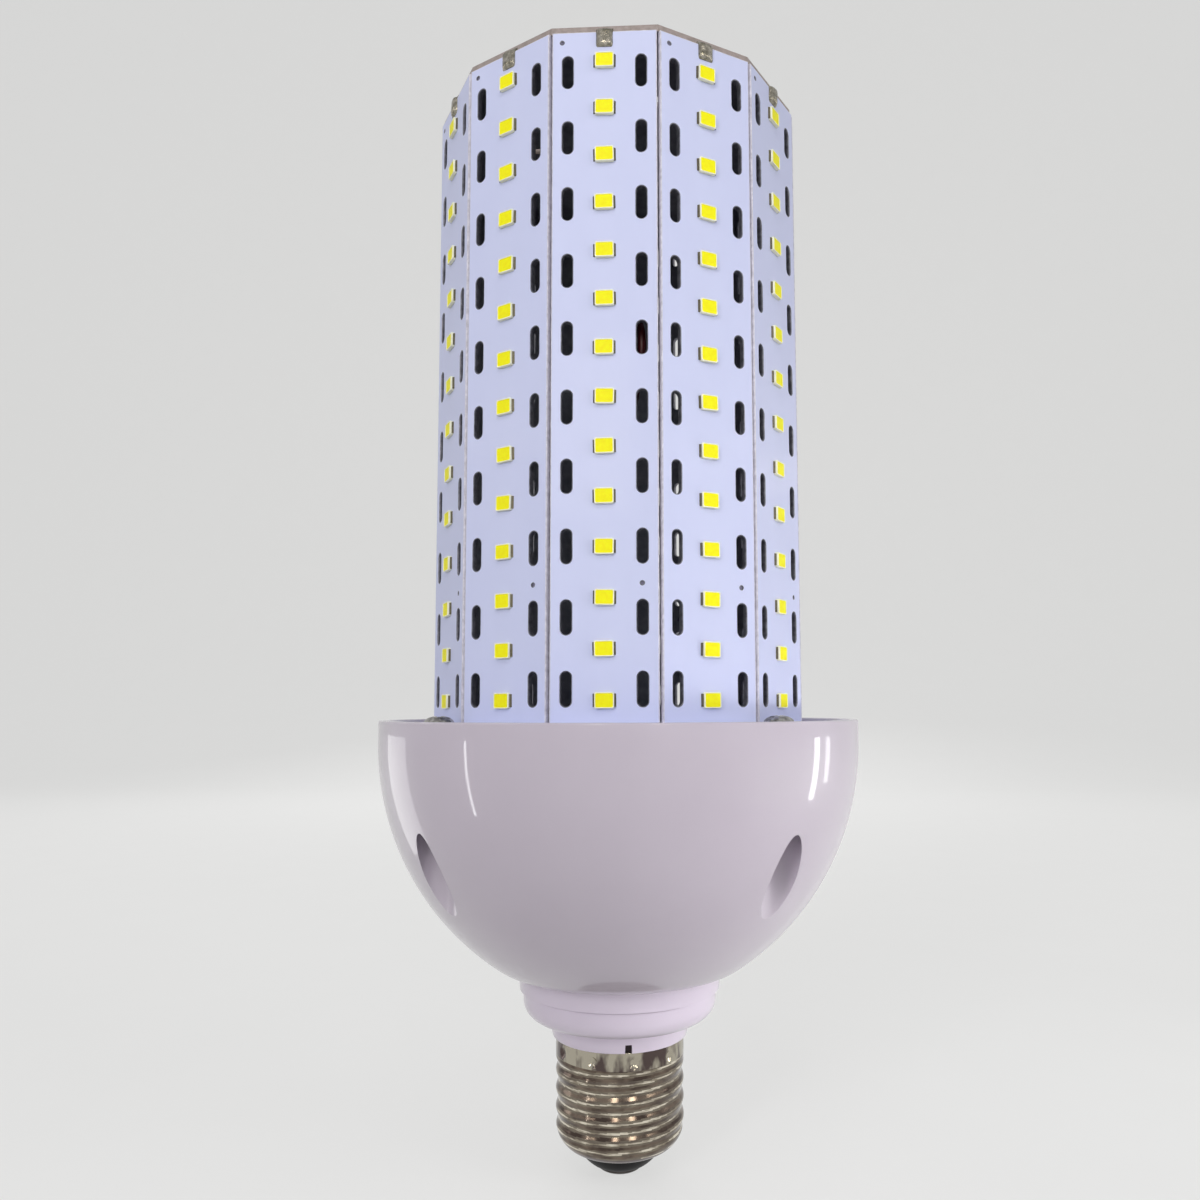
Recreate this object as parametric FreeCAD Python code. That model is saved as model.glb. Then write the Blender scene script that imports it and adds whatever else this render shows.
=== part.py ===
"""Corn lamp: a twelve-sided tower of light strips on a plastic cup with a screw cap.

Millimetres, +Z up, cap down.  The origin is the tip of the centre contact, on the lamp's axis.
Strip 1 faces -Y.  Strips, chips and joints repeat every 30 degrees about Z.
"""
import FreeCAD, Part
import math
import os

V = FreeCAD.Vector
Z_AXIS = V(0, 0, 1)
CENTRE = V(0, 0, 0)

# Screw cap, for an E27 socket
cap_radius = 13.05
cap_height = 27.0
cap_wall = 0.3
cap_round_z = 8.6
cap_thread_depth = 0.85
cap_shoulder_radius = 10.2
cap_shoulder_z = 5.2
contact_radius = 4.6
contact_tip_radius = 3.2
contact_height = 1.5
contact_edge_height = 0.6
contact_stem_radius = 1.5
contact_stem_length = 2.0
insulator_wall = 3.0
insulator_band = 1.2
insulator_ledge = 1.4
insulator_ledge_rise = 0.2

# Neck, the plastic piece that the cap is pressed on
neck_play = 0.1
neck_bore_radius = 9.6
neck_spigot_low = 9.6
collar_low_height = 3.9
collar_low_radius = 13.8
collar_low_top_radius = 14.3
collar_mid_radius = 19.7
collar_mid_height = 5.7
collar_mid_round = 3.3
neck_lip_wall = 2.2
neck_lip_height = 3.0
wire_notch_width = 1.3
wire_notch_height = 2.1
wire_notch_depth = 1.2
wire_notch_angle = 11.0

# Cup, the bowl that holds the driver
cup_radius = 49.1
cup_height = 50.2
cup_straight = 4.2
cup_wall = 3.0
cup_rim_wall = 1.8
cup_low_round = 9.7
cup_inner_steps = 6
cup_inner_low_steps = 3
collar_top_radius = 20.7
collar_top_low_radius = 20.5
collar_top_height = 3.9
lip_play = 0.15

# Screws that hold the base plate, and the bosses that they go into
screw_inset = 5.9
screw_count = 4
screw_first_angle = 45.0
screw_shank_radius = 1.4
screw_shank_length = 8.0
screw_head_radius = 2.9
screw_head_height = 2.4
screw_hole_play = 0.3
pilot_play = 0.1
pilot_extra_depth = 1.0
pocket_radius = 3.65
pocket_ceiling_wall = 2.4
boss_wall = 1.2

# Base plate
plate_recess = 1.4
base_thickness = 1.6
base_play = 0.3
base_wire_hole_radius = 7.0

# Tower of strips
strip_count = 12
tower_inset = 12.0
strip_thickness = 1.2
strip_gap = 0.04
chips_per_strip = 14
chip_pitch = 8.95
strip_margin_low = 5.1
strip_margin_high = 5.8
vents_per_column = 10
vent_pitch = 12.5
vent_edge_margin = 1.9
vent_width = 2.0
vent_length = 6.2
vent_end_facets = 3
tab_width = 6.0
tab_length = 3.0
tab_play = 0.1

# Light chips
chip_width = 3.5
chip_height = 2.8
chip_thickness = 0.7

# Top plate
top_thickness = 1.4
top_inset = 0.6
top_hole_radius = 3.5
top_ring_inset = 10.0
top_inner_ring_radius = 11.5
top_inner_count = 6

# Solder joints
solder_width = 2.8
solder_drop = 3.1
solder_rise = 0.9
solder_thickness = 0.9
tab_solder_width = 5.0
tab_solder_reach = 1.6

# Driver inside the cup
driver_length = 50.0
driver_width = 36.0
driver_thickness = 1.6
driver_level = 15.5
post_radius = 2.6
post_inset = 4.0
driver_screw_radius = 1.2
driver_screw_depth = 6.0
driver_screw_head_radius = 2.2
driver_screw_head_height = 1.5
core_length = 18.0
core_width = 6.0
core_height = 15.0
core_leg = 4.0
coil_wall = 2.6
coil_play = 0.15
coil_margin = 0.4
coil_corner = 2.0
bulk_radius = 4.5
bulk_height = 15.0
output_radius = 5.5
output_height = 14.0
film_length = 8.0
film_width = 4.0
film_height = 8.0
choke_radius = 4.0
choke_core_radius = 2.2
choke_height = 9.0
choke_flange = 1.2
bridge_length = 9.0
bridge_width = 6.5
bridge_height = 3.0
fuse_radius = 1.5
fuse_length = 8.0
chip_ic_length = 6.0
chip_ic_width = 4.0
chip_ic_height = 1.6

# Where the driver's components stand, from the middle of its board
transformer_place = (-8.5, 4.5)
bulk_place = (11.0, -7.0)
output_place = (9.5, 5.5)
film_place = (-3.0, -12.6)
choke_place = (1.4, -6.0)
bridge_place = (-12.0, -8.0)
fuse_place = (8.5, -13.3)
chip_ic_place = (0.0, 0.0)

# Wires, with the places where they are soldered to the driver's board
wire_radius = 0.8
wire_sides = 6
contact_wire_place = (9.0, 4.0)
shell_wire_place = (-8.0, -5.0)
shell_wire_side = 1.5
shell_wire_rise = 4.0
lead_place = (3.25, 13.0)
lead_spacing = 3.5

# Levels that follow from the sizes above
collar_low_z = cap_height
collar_mid_z = collar_low_z + collar_low_height
collar_top_z = collar_mid_z + collar_mid_height
cup_low_z = collar_top_z + collar_top_height
rim_z = cup_low_z + cup_height
base_top_z = rim_z - plate_recess
base_low_z = base_top_z - base_thickness
strip_low_z = base_top_z
strip_length = strip_margin_low + (chips_per_strip - 1) * chip_pitch + strip_margin_high
strip_top_z = strip_low_z + strip_length
chip_low_z = strip_low_z + strip_margin_low
chip_mid_z = chip_low_z + 0.5 * (chips_per_strip - 1) * chip_pitch
top_z = strip_top_z + top_thickness
cup_floor_z = cup_low_z + cup_wall
driver_z = cup_low_z + driver_level
driver_top_z = driver_z + driver_thickness
chip_ic_z = driver_z - chip_ic_height
stem_top_z = contact_height + contact_stem_length

# Radii and angles that follow
step_angle = 360.0 / strip_count
half_step = math.radians(step_angle / 2)
tower_apothem = cup_radius - tower_inset
screw_circle_radius = cup_radius - screw_inset
strip_inner_apothem = tower_apothem - strip_thickness
strip_width = 2 * strip_inner_apothem * math.tan(half_step) - strip_gap
strip_mid_apothem = tower_apothem - strip_thickness / 2
vent_offset = (strip_width - vent_width) / 2 - vent_edge_margin
top_apothem = tower_apothem - top_inset
top_ring_radius = top_apothem - top_ring_inset
top_vent_radius = (top_ring_radius + top_inner_ring_radius) / 2
cup_inner_radius = cup_radius - cup_wall
recess_radius = cup_radius - cup_rim_wall
base_radius = recess_radius - base_play
shell_bore_radius = cap_radius - cap_thread_depth - cap_wall
spigot_radius = shell_bore_radius - neck_play
lip_radius = collar_top_low_radius - neck_lip_wall
boss_radius = pocket_radius + boss_wall
pilot_radius = screw_shank_radius + pilot_play
pilot_depth = screw_shank_length - base_thickness + pilot_extra_depth
pocket_top_z = base_low_z - pilot_depth - pocket_ceiling_wall


def export(shape, node):
    """Write one node; its solids stay apart."""
    shape.exportStep("parts/%s.step" % node)


def turned(shape, angle):
    """A copy turned about the lamp's axis."""
    copy = shape.copy()
    copy.rotate(CENTRE, Z_AXIS, angle)
    return copy


def ring_copies(shape, count, first=0.0):
    """Copies spread evenly round the axis."""
    return [turned(shape, first + k * 360.0 / count) for k in range(count)]


def box(length, width, height, centre, low):
    """A box centred on a point in plan, standing on a level."""
    corner = V(centre[0] - length / 2, centre[1] - width / 2, low)
    return Part.makeBox(length, width, height, corner)


def rod(radius, low, high, centre=(0.0, 0.0)):
    """An upright cylinder between two levels."""
    return Part.makeCylinder(radius, high - low, V(centre[0], centre[1], low))


def line(start, end):
    """A straight edge in the half plane y = 0, from (radius, z) points."""
    return Part.makeLine(V(start[0], 0, start[1]), V(end[0], 0, end[1]))


def arc(start, middle, end):
    """A circular edge in the half plane y = 0, from (radius, z) points."""
    return Part.Arc(*[V(r, 0, z) for r, z in (start, middle, end)]).toShape()


def revolve(edges):
    """Turn a closed outline about the lamp's axis."""
    face = Part.Face(Part.Wire(edges))
    return face.revolve(CENTRE, Z_AXIS, 360)


def outline(points):
    """Edges of a closed outline with straight sides."""
    return [line(a, b) for a, b in zip(points, points[1:] + points[:1])]


def between(start, end, share):
    """The number that lies a share of the way from one number to another."""
    return start + (end - start) * share


def at_angle(centre, radius, angle):
    """The point of a circle in the half plane, about a (radius, z) centre."""
    turn = math.radians(angle)
    return (centre[0] + radius * math.cos(turn), centre[1] + radius * math.sin(turn))


def bend(centre, radius, start_angle, end_angle):
    """An arc in the half plane, about a (radius, z) centre."""
    middle_angle = (start_angle + end_angle) / 2
    return arc(*[at_angle(centre, radius, angle) for angle in (start_angle, middle_angle, end_angle)])


def polygon_prism(points, height_vector):
    """A flat polygon pushed along a vector."""
    face = Part.Face(Part.makePolygon(points + points[:1]))
    return face.extrude(height_vector)


def cap_round():
    """The arc that turns the sleeve in to its shoulder: centre, outer radius and last angle."""
    inset = cap_radius - cap_shoulder_radius
    drop = cap_round_z - cap_shoulder_z
    radius = (inset ** 2 + drop ** 2) / (2 * inset)
    last_angle = -math.degrees(math.atan2(drop, radius - inset))
    return (cap_radius - radius, cap_round_z), radius, last_angle


def make_screw_cap():
    """The pressed metal cap: a thin sleeve that turns in to hold the insulator."""
    inner = cap_radius - cap_wall
    centre, radius, last_angle = cap_round()
    shoulder = at_angle(centre, radius, last_angle)
    inner_shoulder = at_angle(centre, radius - cap_wall, last_angle)
    edges = [
        line((cap_radius, cap_height), (cap_radius, cap_round_z)),
        bend(centre, radius, 0, last_angle),
        line(shoulder, inner_shoulder),
        bend(centre, radius - cap_wall, last_angle, 0),
        line((inner, cap_round_z), (inner, cap_height)),
        line((inner, cap_height), (cap_radius, cap_height)),
    ]
    return revolve(edges)


def make_cap_insulator():
    """The black cone between the cap and the centre contact."""
    centre, radius, last_angle = cap_round()
    edge = at_angle(centre, radius - cap_wall, last_angle)[0] - neck_play
    points = [
        (contact_radius, contact_height),
        (contact_radius + insulator_ledge, contact_height + insulator_ledge_rise),
        (edge, cap_shoulder_z),
        (edge, cap_shoulder_z + insulator_band),
        (edge - insulator_wall, cap_shoulder_z + insulator_band),
        (contact_stem_radius + neck_play, contact_height + insulator_ledge),
        (contact_stem_radius + neck_play, contact_height),
    ]
    return revolve(outline(points))


def make_centre_contact():
    """The brass button at the tip, with the rivet stem that goes up into the insulator."""
    points = [
        (0.0, 0.0),
        (contact_tip_radius, 0.0),
        (contact_radius, contact_height - contact_edge_height),
        (contact_radius, contact_height),
        (contact_stem_radius, contact_height),
        (contact_stem_radius, stem_top_z),
        (0.0, stem_top_z),
    ]
    return revolve(outline(points))


def make_cap_neck():
    """The stepped plastic neck: spigot in the cap, two collars and a lip up into the cup."""
    round_centre = (collar_mid_radius - collar_mid_round, collar_mid_z + collar_mid_round)
    lip_inner = lip_radius - neck_lip_wall
    edges = [
        line((spigot_radius, neck_spigot_low), (spigot_radius, collar_low_z)),
        line((spigot_radius, collar_low_z), (collar_low_radius, collar_low_z)),
        line((collar_low_radius, collar_low_z), (collar_low_top_radius, collar_mid_z)),
        line((collar_low_top_radius, collar_mid_z), (round_centre[0], collar_mid_z)),
        bend(round_centre, collar_mid_round, -90, 0),
        line((collar_mid_radius, round_centre[1]), (collar_mid_radius, collar_top_z)),
        line((collar_mid_radius, collar_top_z), (lip_radius, collar_top_z)),
        line((lip_radius, collar_top_z), (lip_radius, collar_top_z + neck_lip_height)),
        line((lip_radius, collar_top_z + neck_lip_height), (lip_inner, collar_top_z + neck_lip_height)),
        line((lip_inner, collar_top_z + neck_lip_height), (neck_bore_radius, collar_mid_z)),
        line((neck_bore_radius, collar_mid_z), (neck_bore_radius, neck_spigot_low)),
        line((neck_bore_radius, neck_spigot_low), (spigot_radius, neck_spigot_low)),
    ]
    neck = revolve(edges)
    notch = box(wire_notch_width, wire_notch_depth * 2, wire_notch_height,
                (0.0, -collar_low_radius), collar_low_z)
    return neck.cut(turned(notch, wire_notch_angle))


def bowl_circles():
    """The bowl's two tangent arcs: centres, upper radius and the angle where they meet."""
    width = cup_radius - collar_top_radius
    height = rim_z - cup_straight - cup_low_z
    reach = width ** 2 + height ** 2 - 2 * height * cup_low_round
    upper_radius = reach / (2 * (width - cup_low_round))
    upper = (cup_radius - upper_radius, rim_z - cup_straight)
    lower = (collar_top_radius, cup_low_z + cup_low_round)
    joint_angle = math.degrees(math.atan2(lower[1] - upper[1], lower[0] - upper[0]))
    return upper, upper_radius, lower, joint_angle


def bowl_arcs():
    """The bowl's outside from rim to neck."""
    upper, upper_radius, lower, joint_angle = bowl_circles()
    return [
        bend(upper, upper_radius, 0, joint_angle),
        bend(lower, cup_low_round, joint_angle, -90),
    ]


def bowl_inner_points():
    """The bowl's inside from rim to floor, one wall inwards, as short straight steps."""
    upper, upper_radius, lower, joint_angle = bowl_circles()
    points = []
    for k in range(cup_inner_steps + 1):
        angle = joint_angle * k / cup_inner_steps
        points.append(at_angle(upper, upper_radius - cup_wall, angle))
    for k in range(1, cup_inner_low_steps + 1):
        angle = between(joint_angle, -90.0, k / cup_inner_low_steps)
        points.append(at_angle(lower, cup_low_round - cup_wall, angle))
    return points


def cup_body():
    """The bowl as a full solid, without its hollow."""
    edges = [
        line((0.0, collar_top_z), (0.0, rim_z)),
        line((0.0, rim_z), (cup_radius, rim_z)),
        line((cup_radius, rim_z), (cup_radius, rim_z - cup_straight)),
        *bowl_arcs(),
        line((collar_top_radius, cup_low_z), (collar_top_low_radius, collar_top_z)),
        line((collar_top_low_radius, collar_top_z), (0.0, collar_top_z)),
    ]
    return revolve(edges)


def cup_hollow():
    """The space inside the bowl, down through the collar."""
    bore = lip_radius + lip_play
    points = [
        (0.0, collar_top_z),
        (0.0, rim_z),
        (recess_radius, rim_z),
        (recess_radius, base_low_z),
        (cup_inner_radius, base_low_z),
        *bowl_inner_points(),
        (bore, cup_floor_z),
        (bore, collar_top_z),
    ]
    return revolve(outline(points))


def post_places():
    """Plan positions of the posts that carry the driver's board."""
    x = driver_length / 2 - post_inset
    y = driver_width / 2 - post_inset
    return [(x, y), (-x, y), (-x, -y), (x, -y)]


def make_driver_housing():
    """The moulded cup: shell, screw bosses with their pockets below, and driver posts."""
    body = cup_body()
    shell = body.cut(cup_hollow())
    boss = rod(boss_radius, cup_low_z, base_low_z, (0.0, -screw_circle_radius)).common(body)
    bosses = ring_copies(boss, screw_count, screw_first_angle)
    posts = [rod(post_radius, cup_low_z, driver_z, place).common(body) for place in post_places()]
    shell = shell.multiFuse(bosses + posts)
    pocket = rod(pocket_radius, collar_top_z, pocket_top_z, (0.0, -screw_circle_radius))
    pilot = rod(pilot_radius, base_low_z - pilot_depth, rim_z, (0.0, -screw_circle_radius))
    cuts = ring_copies(pocket, screw_count, screw_first_angle)
    cuts += ring_copies(pilot, screw_count, screw_first_angle)
    bore = driver_screw_radius + pilot_play
    depth = driver_screw_depth + pilot_extra_depth
    cuts += [rod(bore, driver_z - depth, rim_z, place) for place in post_places()]
    return shell.cut(Part.makeCompound(cuts))


def make_plate_screws():
    """Pan-head screws that hold the base plate to the cup."""
    place = (0.0, -screw_circle_radius)
    head = rod(screw_head_radius, base_top_z, base_top_z + screw_head_height, place)
    edge = [e for e in head.Edges if e.CenterOfMass.z > base_top_z + screw_head_height - 0.01]
    head = head.makeChamfer(screw_head_height / 3, edge)
    shank = rod(screw_shank_radius, base_top_z - screw_shank_length, base_top_z, place)
    return Part.makeCompound(ring_copies(head.fuse(shank), screw_count, screw_first_angle))


def make_base_plate():
    """The round board that the strips stand on, with a slot for each strip's tab."""
    plate = rod(base_radius, base_low_z, base_top_z)
    tab_slot = box(tab_width + 2 * tab_play, strip_thickness + 2 * tab_play, 2 * base_thickness,
                   (0.0, -strip_mid_apothem), base_low_z - base_thickness / 2)
    screw_hole = rod(screw_shank_radius + screw_hole_play, base_low_z, base_top_z,
                     (0.0, -screw_circle_radius))
    cuts = ring_copies(tab_slot, strip_count)
    cuts += ring_copies(screw_hole, screw_count, screw_first_angle)
    cuts.append(rod(base_wire_hole_radius, base_low_z, base_top_z))
    return plate.cut(Part.makeCompound(cuts))


def vent_points(at):
    """Corners of a long slot with round ends; at(u, v) places a point on its board."""
    radius = vent_width / 2
    reach = vent_length / 2 - radius
    points = []
    for side in (1, -1):
        for k in range(vent_end_facets + 1):
            turn = math.pi * k / vent_end_facets
            points.append(at(side * radius * math.cos(turn), side * (reach + radius * math.sin(turn))))
    return points


def make_strip():
    """One light strip, facing -Y: a slotted board with a tab at its foot."""
    outer_y = -tower_apothem
    board = box(strip_width, strip_thickness, strip_length, (0.0, -strip_mid_apothem), strip_low_z)
    tab = box(tab_width, strip_thickness, tab_length, (0.0, -strip_mid_apothem), strip_low_z - tab_length)
    board = board.fuse(tab).removeSplitter()
    first_z = chip_mid_z - 0.5 * (vents_per_column - 1) * vent_pitch
    push = V(0, 2 * strip_thickness, 0)
    cuts = []
    for row in range(vents_per_column):
        for side in (-1, 1):
            x = side * vent_offset
            z = first_z + row * vent_pitch
            start_y = outer_y - strip_thickness / 2
            points = vent_points(lambda u, v: V(x + u, start_y, z + v))
            cuts.append(polygon_prism(points, push))
    return board.cut(Part.makeCompound(cuts))


def make_strip_chips():
    """The chips of one strip, facing -Y."""
    chips = []
    for k in range(chips_per_strip):
        low = chip_low_z + k * chip_pitch - chip_height / 2
        centre = (0.0, -tower_apothem - chip_thickness / 2)
        chips.append(box(chip_width, chip_thickness, chip_height, centre, low))
    return Part.makeCompound(chips)


def make_top_plate():
    """The twelve-sided board that closes the tower, slotted like the strips."""
    circumradius = top_apothem / math.cos(half_step)
    corners = []
    for k in range(strip_count):
        turn = half_step + 2 * k * half_step
        corners.append(V(circumradius * math.sin(turn), -circumradius * math.cos(turn), strip_top_z))
    plate = polygon_prism(corners, V(0, 0, top_thickness))
    points = vent_points(lambda u, v: V(u, v - top_vent_radius, strip_top_z - top_thickness / 2))
    vent = polygon_prism(points, V(0, 0, 2 * top_thickness))
    cuts = ring_copies(vent, strip_count)
    cuts.append(rod(top_hole_radius, strip_top_z, top_z))
    return plate.cut(Part.makeCompound(cuts))


def make_top_chips():
    """Chips on the top plate: one facing each strip, and an inner ring."""
    outer = box(chip_width, chip_height, chip_thickness, (0.0, -top_ring_radius), top_z)
    inner = box(chip_width, chip_height, chip_thickness, (0.0, -top_inner_ring_radius), top_z)
    chips = ring_copies(outer, strip_count) + ring_copies(inner, top_inner_count)
    return Part.makeCompound(chips)


def make_top_solder():
    """Solder that bridges each strip's head and the edge of the top plate."""
    front = -tower_apothem
    ledge = -top_apothem
    crest = front - solder_thickness
    low = strip_top_z - solder_drop
    profile = [
        (front, low),
        (crest + solder_thickness / 3, low),
        (crest, low + solder_drop / 3),
        (crest, strip_top_z),
        (ledge, strip_top_z + solder_rise),
        (ledge, strip_top_z),
        (front, strip_top_z),
    ]
    points = [V(-solder_width / 2, y, z) for y, z in profile]
    joint = polygon_prism(points, V(solder_width, 0, 0))
    return Part.makeCompound(ring_copies(joint, strip_count))


def make_tab_solder():
    """Solder between each strip's tab and the underside of the base plate."""
    inner = -strip_inner_apothem
    drop = tab_length - base_thickness
    profile = [
        (inner, base_low_z),
        (inner + tab_solder_reach, base_low_z),
        (inner, base_low_z - drop),
    ]
    points = [V(-tab_solder_width / 2, y, z) for y, z in profile]
    joint = polygon_prism(points, V(tab_solder_width, 0, 0))
    return Part.makeCompound(ring_copies(joint, strip_count))


def make_driver_board():
    """The driver's circuit board on its four posts."""
    board = box(driver_length, driver_width, driver_thickness, (0.0, 0.0), driver_z)
    hole = driver_screw_radius + screw_hole_play
    holes = [rod(hole, driver_z, driver_top_z, place) for place in post_places()]
    return board.cut(Part.makeCompound(holes))


def make_driver_screws():
    """Small screws through the driver's board into the posts."""
    screws = []
    for place in post_places():
        head = rod(driver_screw_head_radius, driver_top_z, driver_top_z + driver_screw_head_height, place)
        shank = rod(driver_screw_radius, driver_z - driver_screw_depth, driver_top_z, place)
        screws.append(head.fuse(shank))
    return Part.makeCompound(screws)


def make_transformer_core(centre):
    """A ferrite core with a middle leg between two windows."""
    core = box(core_length, core_width, core_height, centre, driver_top_z)
    window = (core_length - 3 * core_leg) / 2
    height = core_height - 2 * core_leg
    offset = (core_leg + window) / 2
    cuts = [
        box(window, 2 * core_width, height, (centre[0] + side * offset, centre[1]), driver_top_z + core_leg)
        for side in (-1, 1)
    ]
    return core.cut(Part.makeCompound(cuts))


def make_transformer_coil(centre):
    """The taped winding round the core's middle leg."""
    low = driver_top_z + core_leg + coil_margin
    height = core_height - 2 * core_leg - 2 * coil_margin
    bore_length = core_leg + 2 * coil_play
    bore_width = core_width + 2 * coil_play
    outer = box(bore_length + 2 * coil_wall, bore_width + 2 * coil_wall, height, centre, low)
    upright = [e for e in outer.Edges if abs(e.Vertexes[0].Z - e.Vertexes[1].Z) > height / 2]
    outer = outer.makeFillet(coil_corner, upright)
    return outer.cut(box(bore_length, bore_width, height, centre, low))


def make_can(centre, radius, height):
    """A capacitor can standing on the driver's board."""
    return rod(radius, driver_top_z, driver_top_z + height, centre)


def make_choke(centre):
    """A bobbin-shaped choke standing on the driver's board."""
    low = driver_top_z
    high = driver_top_z + choke_height
    core = rod(choke_core_radius, low, high, centre)
    flanges = [rod(choke_radius, low, low + choke_flange, centre)]
    flanges.append(rod(choke_radius, high - choke_flange, high, centre))
    return core.multiFuse(flanges)


def make_fuse(centre):
    """A fusible resistor lying on the driver's board."""
    start = V(centre[0] - fuse_length / 2, centre[1], driver_top_z + fuse_radius)
    return Part.makeCylinder(fuse_radius, fuse_length, start, V(1, 0, 0))


def wire_path(points):
    """Straight runs joined by tangent arcs, each as large as its two runs allow."""
    edges = []
    start = points[0]
    for before, corner, after in zip(points, points[1:], points[2:]):
        back = (before - corner).normalize()
        ahead = (after - corner).normalize()
        run = min(before.distanceToPoint(corner), after.distanceToPoint(corner))
        cut = 0.45 * run
        half_turn = (math.pi - back.getAngle(ahead)) / 2
        radius = cut / math.tan(half_turn)
        entry = corner + back * cut
        leave = corner + ahead * cut
        middle_way = (back + ahead).normalize()
        centre_distance = math.hypot(radius, cut)
        middle = corner + middle_way * (centre_distance - radius)
        edges.append(Part.makeLine(start, entry))
        edges.append(Part.Arc(entry, middle, leave).toShape())
        start = leave
        print("wire bend radius %.1f mm" % radius)
    edges.append(Part.makeLine(start, points[-1]))
    return Part.Wire(edges)


def make_wire(points):
    """A lead along straight runs and arcs, with a six-sided section."""
    points = [V(*p) for p in points]
    path = wire_path(points)
    along = (points[1] - points[0]).normalize()
    side = along.cross(V(1, 0, 0))
    if side.Length < 0.1:
        side = along.cross(V(0, 1, 0))
    side.normalize()
    other = along.cross(side)
    ring = []
    for k in range(wire_sides):
        turn = 2 * math.pi * k / wire_sides
        offset = side * math.cos(turn) + other * math.sin(turn)
        ring.append(points[0] + offset * wire_radius)
    section = Part.makePolygon(ring + ring[:1])
    wire = path.makePipeShell([section], True, False)
    area = 0.5 * wire_sides * wire_radius ** 2 * math.sin(2 * math.pi / wire_sides)
    print("wire volume %.2f, section times length %.2f" % (wire.Volume, area * path.Length))
    return wire


def make_routed_wire(start, end, shares):
    """A wire between two points; each corner has its share of the way in plan and in height."""
    points = []
    for plan, height in shares:
        x = between(start[0], end[0], plan)
        y = between(start[1], end[1], plan)
        points.append((x, y, between(start[2], end[2], height)))
    return make_wire(points)


def make_contact_wire():
    """From the centre contact's stem up through the neck to the driver's board."""
    start = (0.0, 0.0, stem_top_z)
    end = (*contact_wire_place, driver_z)
    return make_routed_wire(start, end, [(0, 0), (0, 0.21), (0.27, 0.46), (0.9, 0.73), (1, 0.89), (1, 1)])


def make_shell_wire():
    """From the notch over the cap's edge, inside the neck, to the driver's board."""
    bore = neck_bore_radius - 2 * wire_radius - neck_play
    start = (shell_wire_side, -bore, neck_spigot_low + shell_wire_rise)
    end = (*shell_wire_place, driver_z)
    return make_routed_wire(start, end, [(0, 0), (0, 0.21), (0.27, 0.39), (0.8, 0.69), (1, 0.86), (1, 1)])


def lead_start(side):
    """A lead's way from the driver's board up to the hole in the base plate."""
    offset = side * lead_spacing / 2
    x, y = lead_place[0] + offset, lead_place[1]
    return [
        (x, y, driver_top_z),
        (x, y, between(driver_top_z, base_low_z, 0.4)),
        (offset, 0.2 * base_wire_hole_radius, base_low_z),
    ]


def tower_point(side_share, front_share, height_share):
    """A point in the tower: shares of the slots' offset, of the inner radius and of the height."""
    return (side_share * vent_offset, -front_share * strip_inner_apothem,
            between(strip_low_z, strip_top_z, height_share))


def make_red_lead():
    """The lead whose slack swings out behind a slot of the front strip."""
    route = [(0.27, 0.22, 0.17), (0.39, 0.42, 0.32), (0.54, 0.72, 0.45), (1.12, 1.01, 0.546),
             (0.54, 0.72, 0.643), (0.39, 0.42, 0.78), (0.37, 0.2, 0.9), (0.37, 0.2, 1.0)]
    return make_wire(lead_start(1) + [tower_point(*shares) for shares in route])


def make_black_lead():
    """The lead that stays near the tower's middle."""
    route = [(-0.3, 0.2, 0.17), (-0.42, 0.28, 0.38), (-0.42, 0.3, 0.58), (-0.4, 0.27, 0.77),
             (-0.37, 0.2, 0.9), (-0.37, 0.2, 1.0)]
    return make_wire(lead_start(-1) + [tower_point(*shares) for shares in route])


def main():
    """Build every piece and write it to its own file."""
    os.makedirs("parts", exist_ok=True)
    pieces = {
        "screw_cap": make_screw_cap(),
        "cap_insulator": make_cap_insulator(),
        "centre_contact": make_centre_contact(),
        "cap_neck": make_cap_neck(),
        "driver_housing": make_driver_housing(),
        "plate_screws": make_plate_screws(),
        "base_plate": make_base_plate(),
        "top_plate": make_top_plate(),
        "top_chips": make_top_chips(),
        "top_solder": make_top_solder(),
        "tab_solder": make_tab_solder(),
        "driver_board": make_driver_board(),
        "driver_screws": make_driver_screws(),
        "transformer_core": make_transformer_core(transformer_place),
        "transformer_coil": make_transformer_coil(transformer_place),
        "input_capacitor": make_can(bulk_place, bulk_radius, bulk_height),
        "output_capacitor": make_can(output_place, output_radius, output_height),
        "film_capacitor": box(film_length, film_width, film_height, film_place, driver_top_z),
        "filter_choke": make_choke(choke_place),
        "bridge_rectifier": box(bridge_length, bridge_width, bridge_height, bridge_place, driver_top_z),
        "fuse_resistor": make_fuse(fuse_place),
        "controller_chip": box(chip_ic_length, chip_ic_width, chip_ic_height, chip_ic_place, chip_ic_z),
        "contact_wire": make_contact_wire(),
        "shell_wire": make_shell_wire(),
        "lead_wire_red": make_red_lead(),
        "lead_wire_black": make_black_lead(),
    }
    strip = make_strip()
    chips = make_strip_chips()
    for k in range(strip_count):
        pieces["led_strip_%02d" % (k + 1)] = turned(strip, k * step_angle)
        pieces["led_chips_%02d" % (k + 1)] = turned(chips, k * step_angle)
    for node, shape in pieces.items():
        export(shape, node)
    print("nodes", len(pieces))


main()
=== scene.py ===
import math
import random

import bmesh
import bpy
from mathutils import Matrix, Vector


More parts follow.
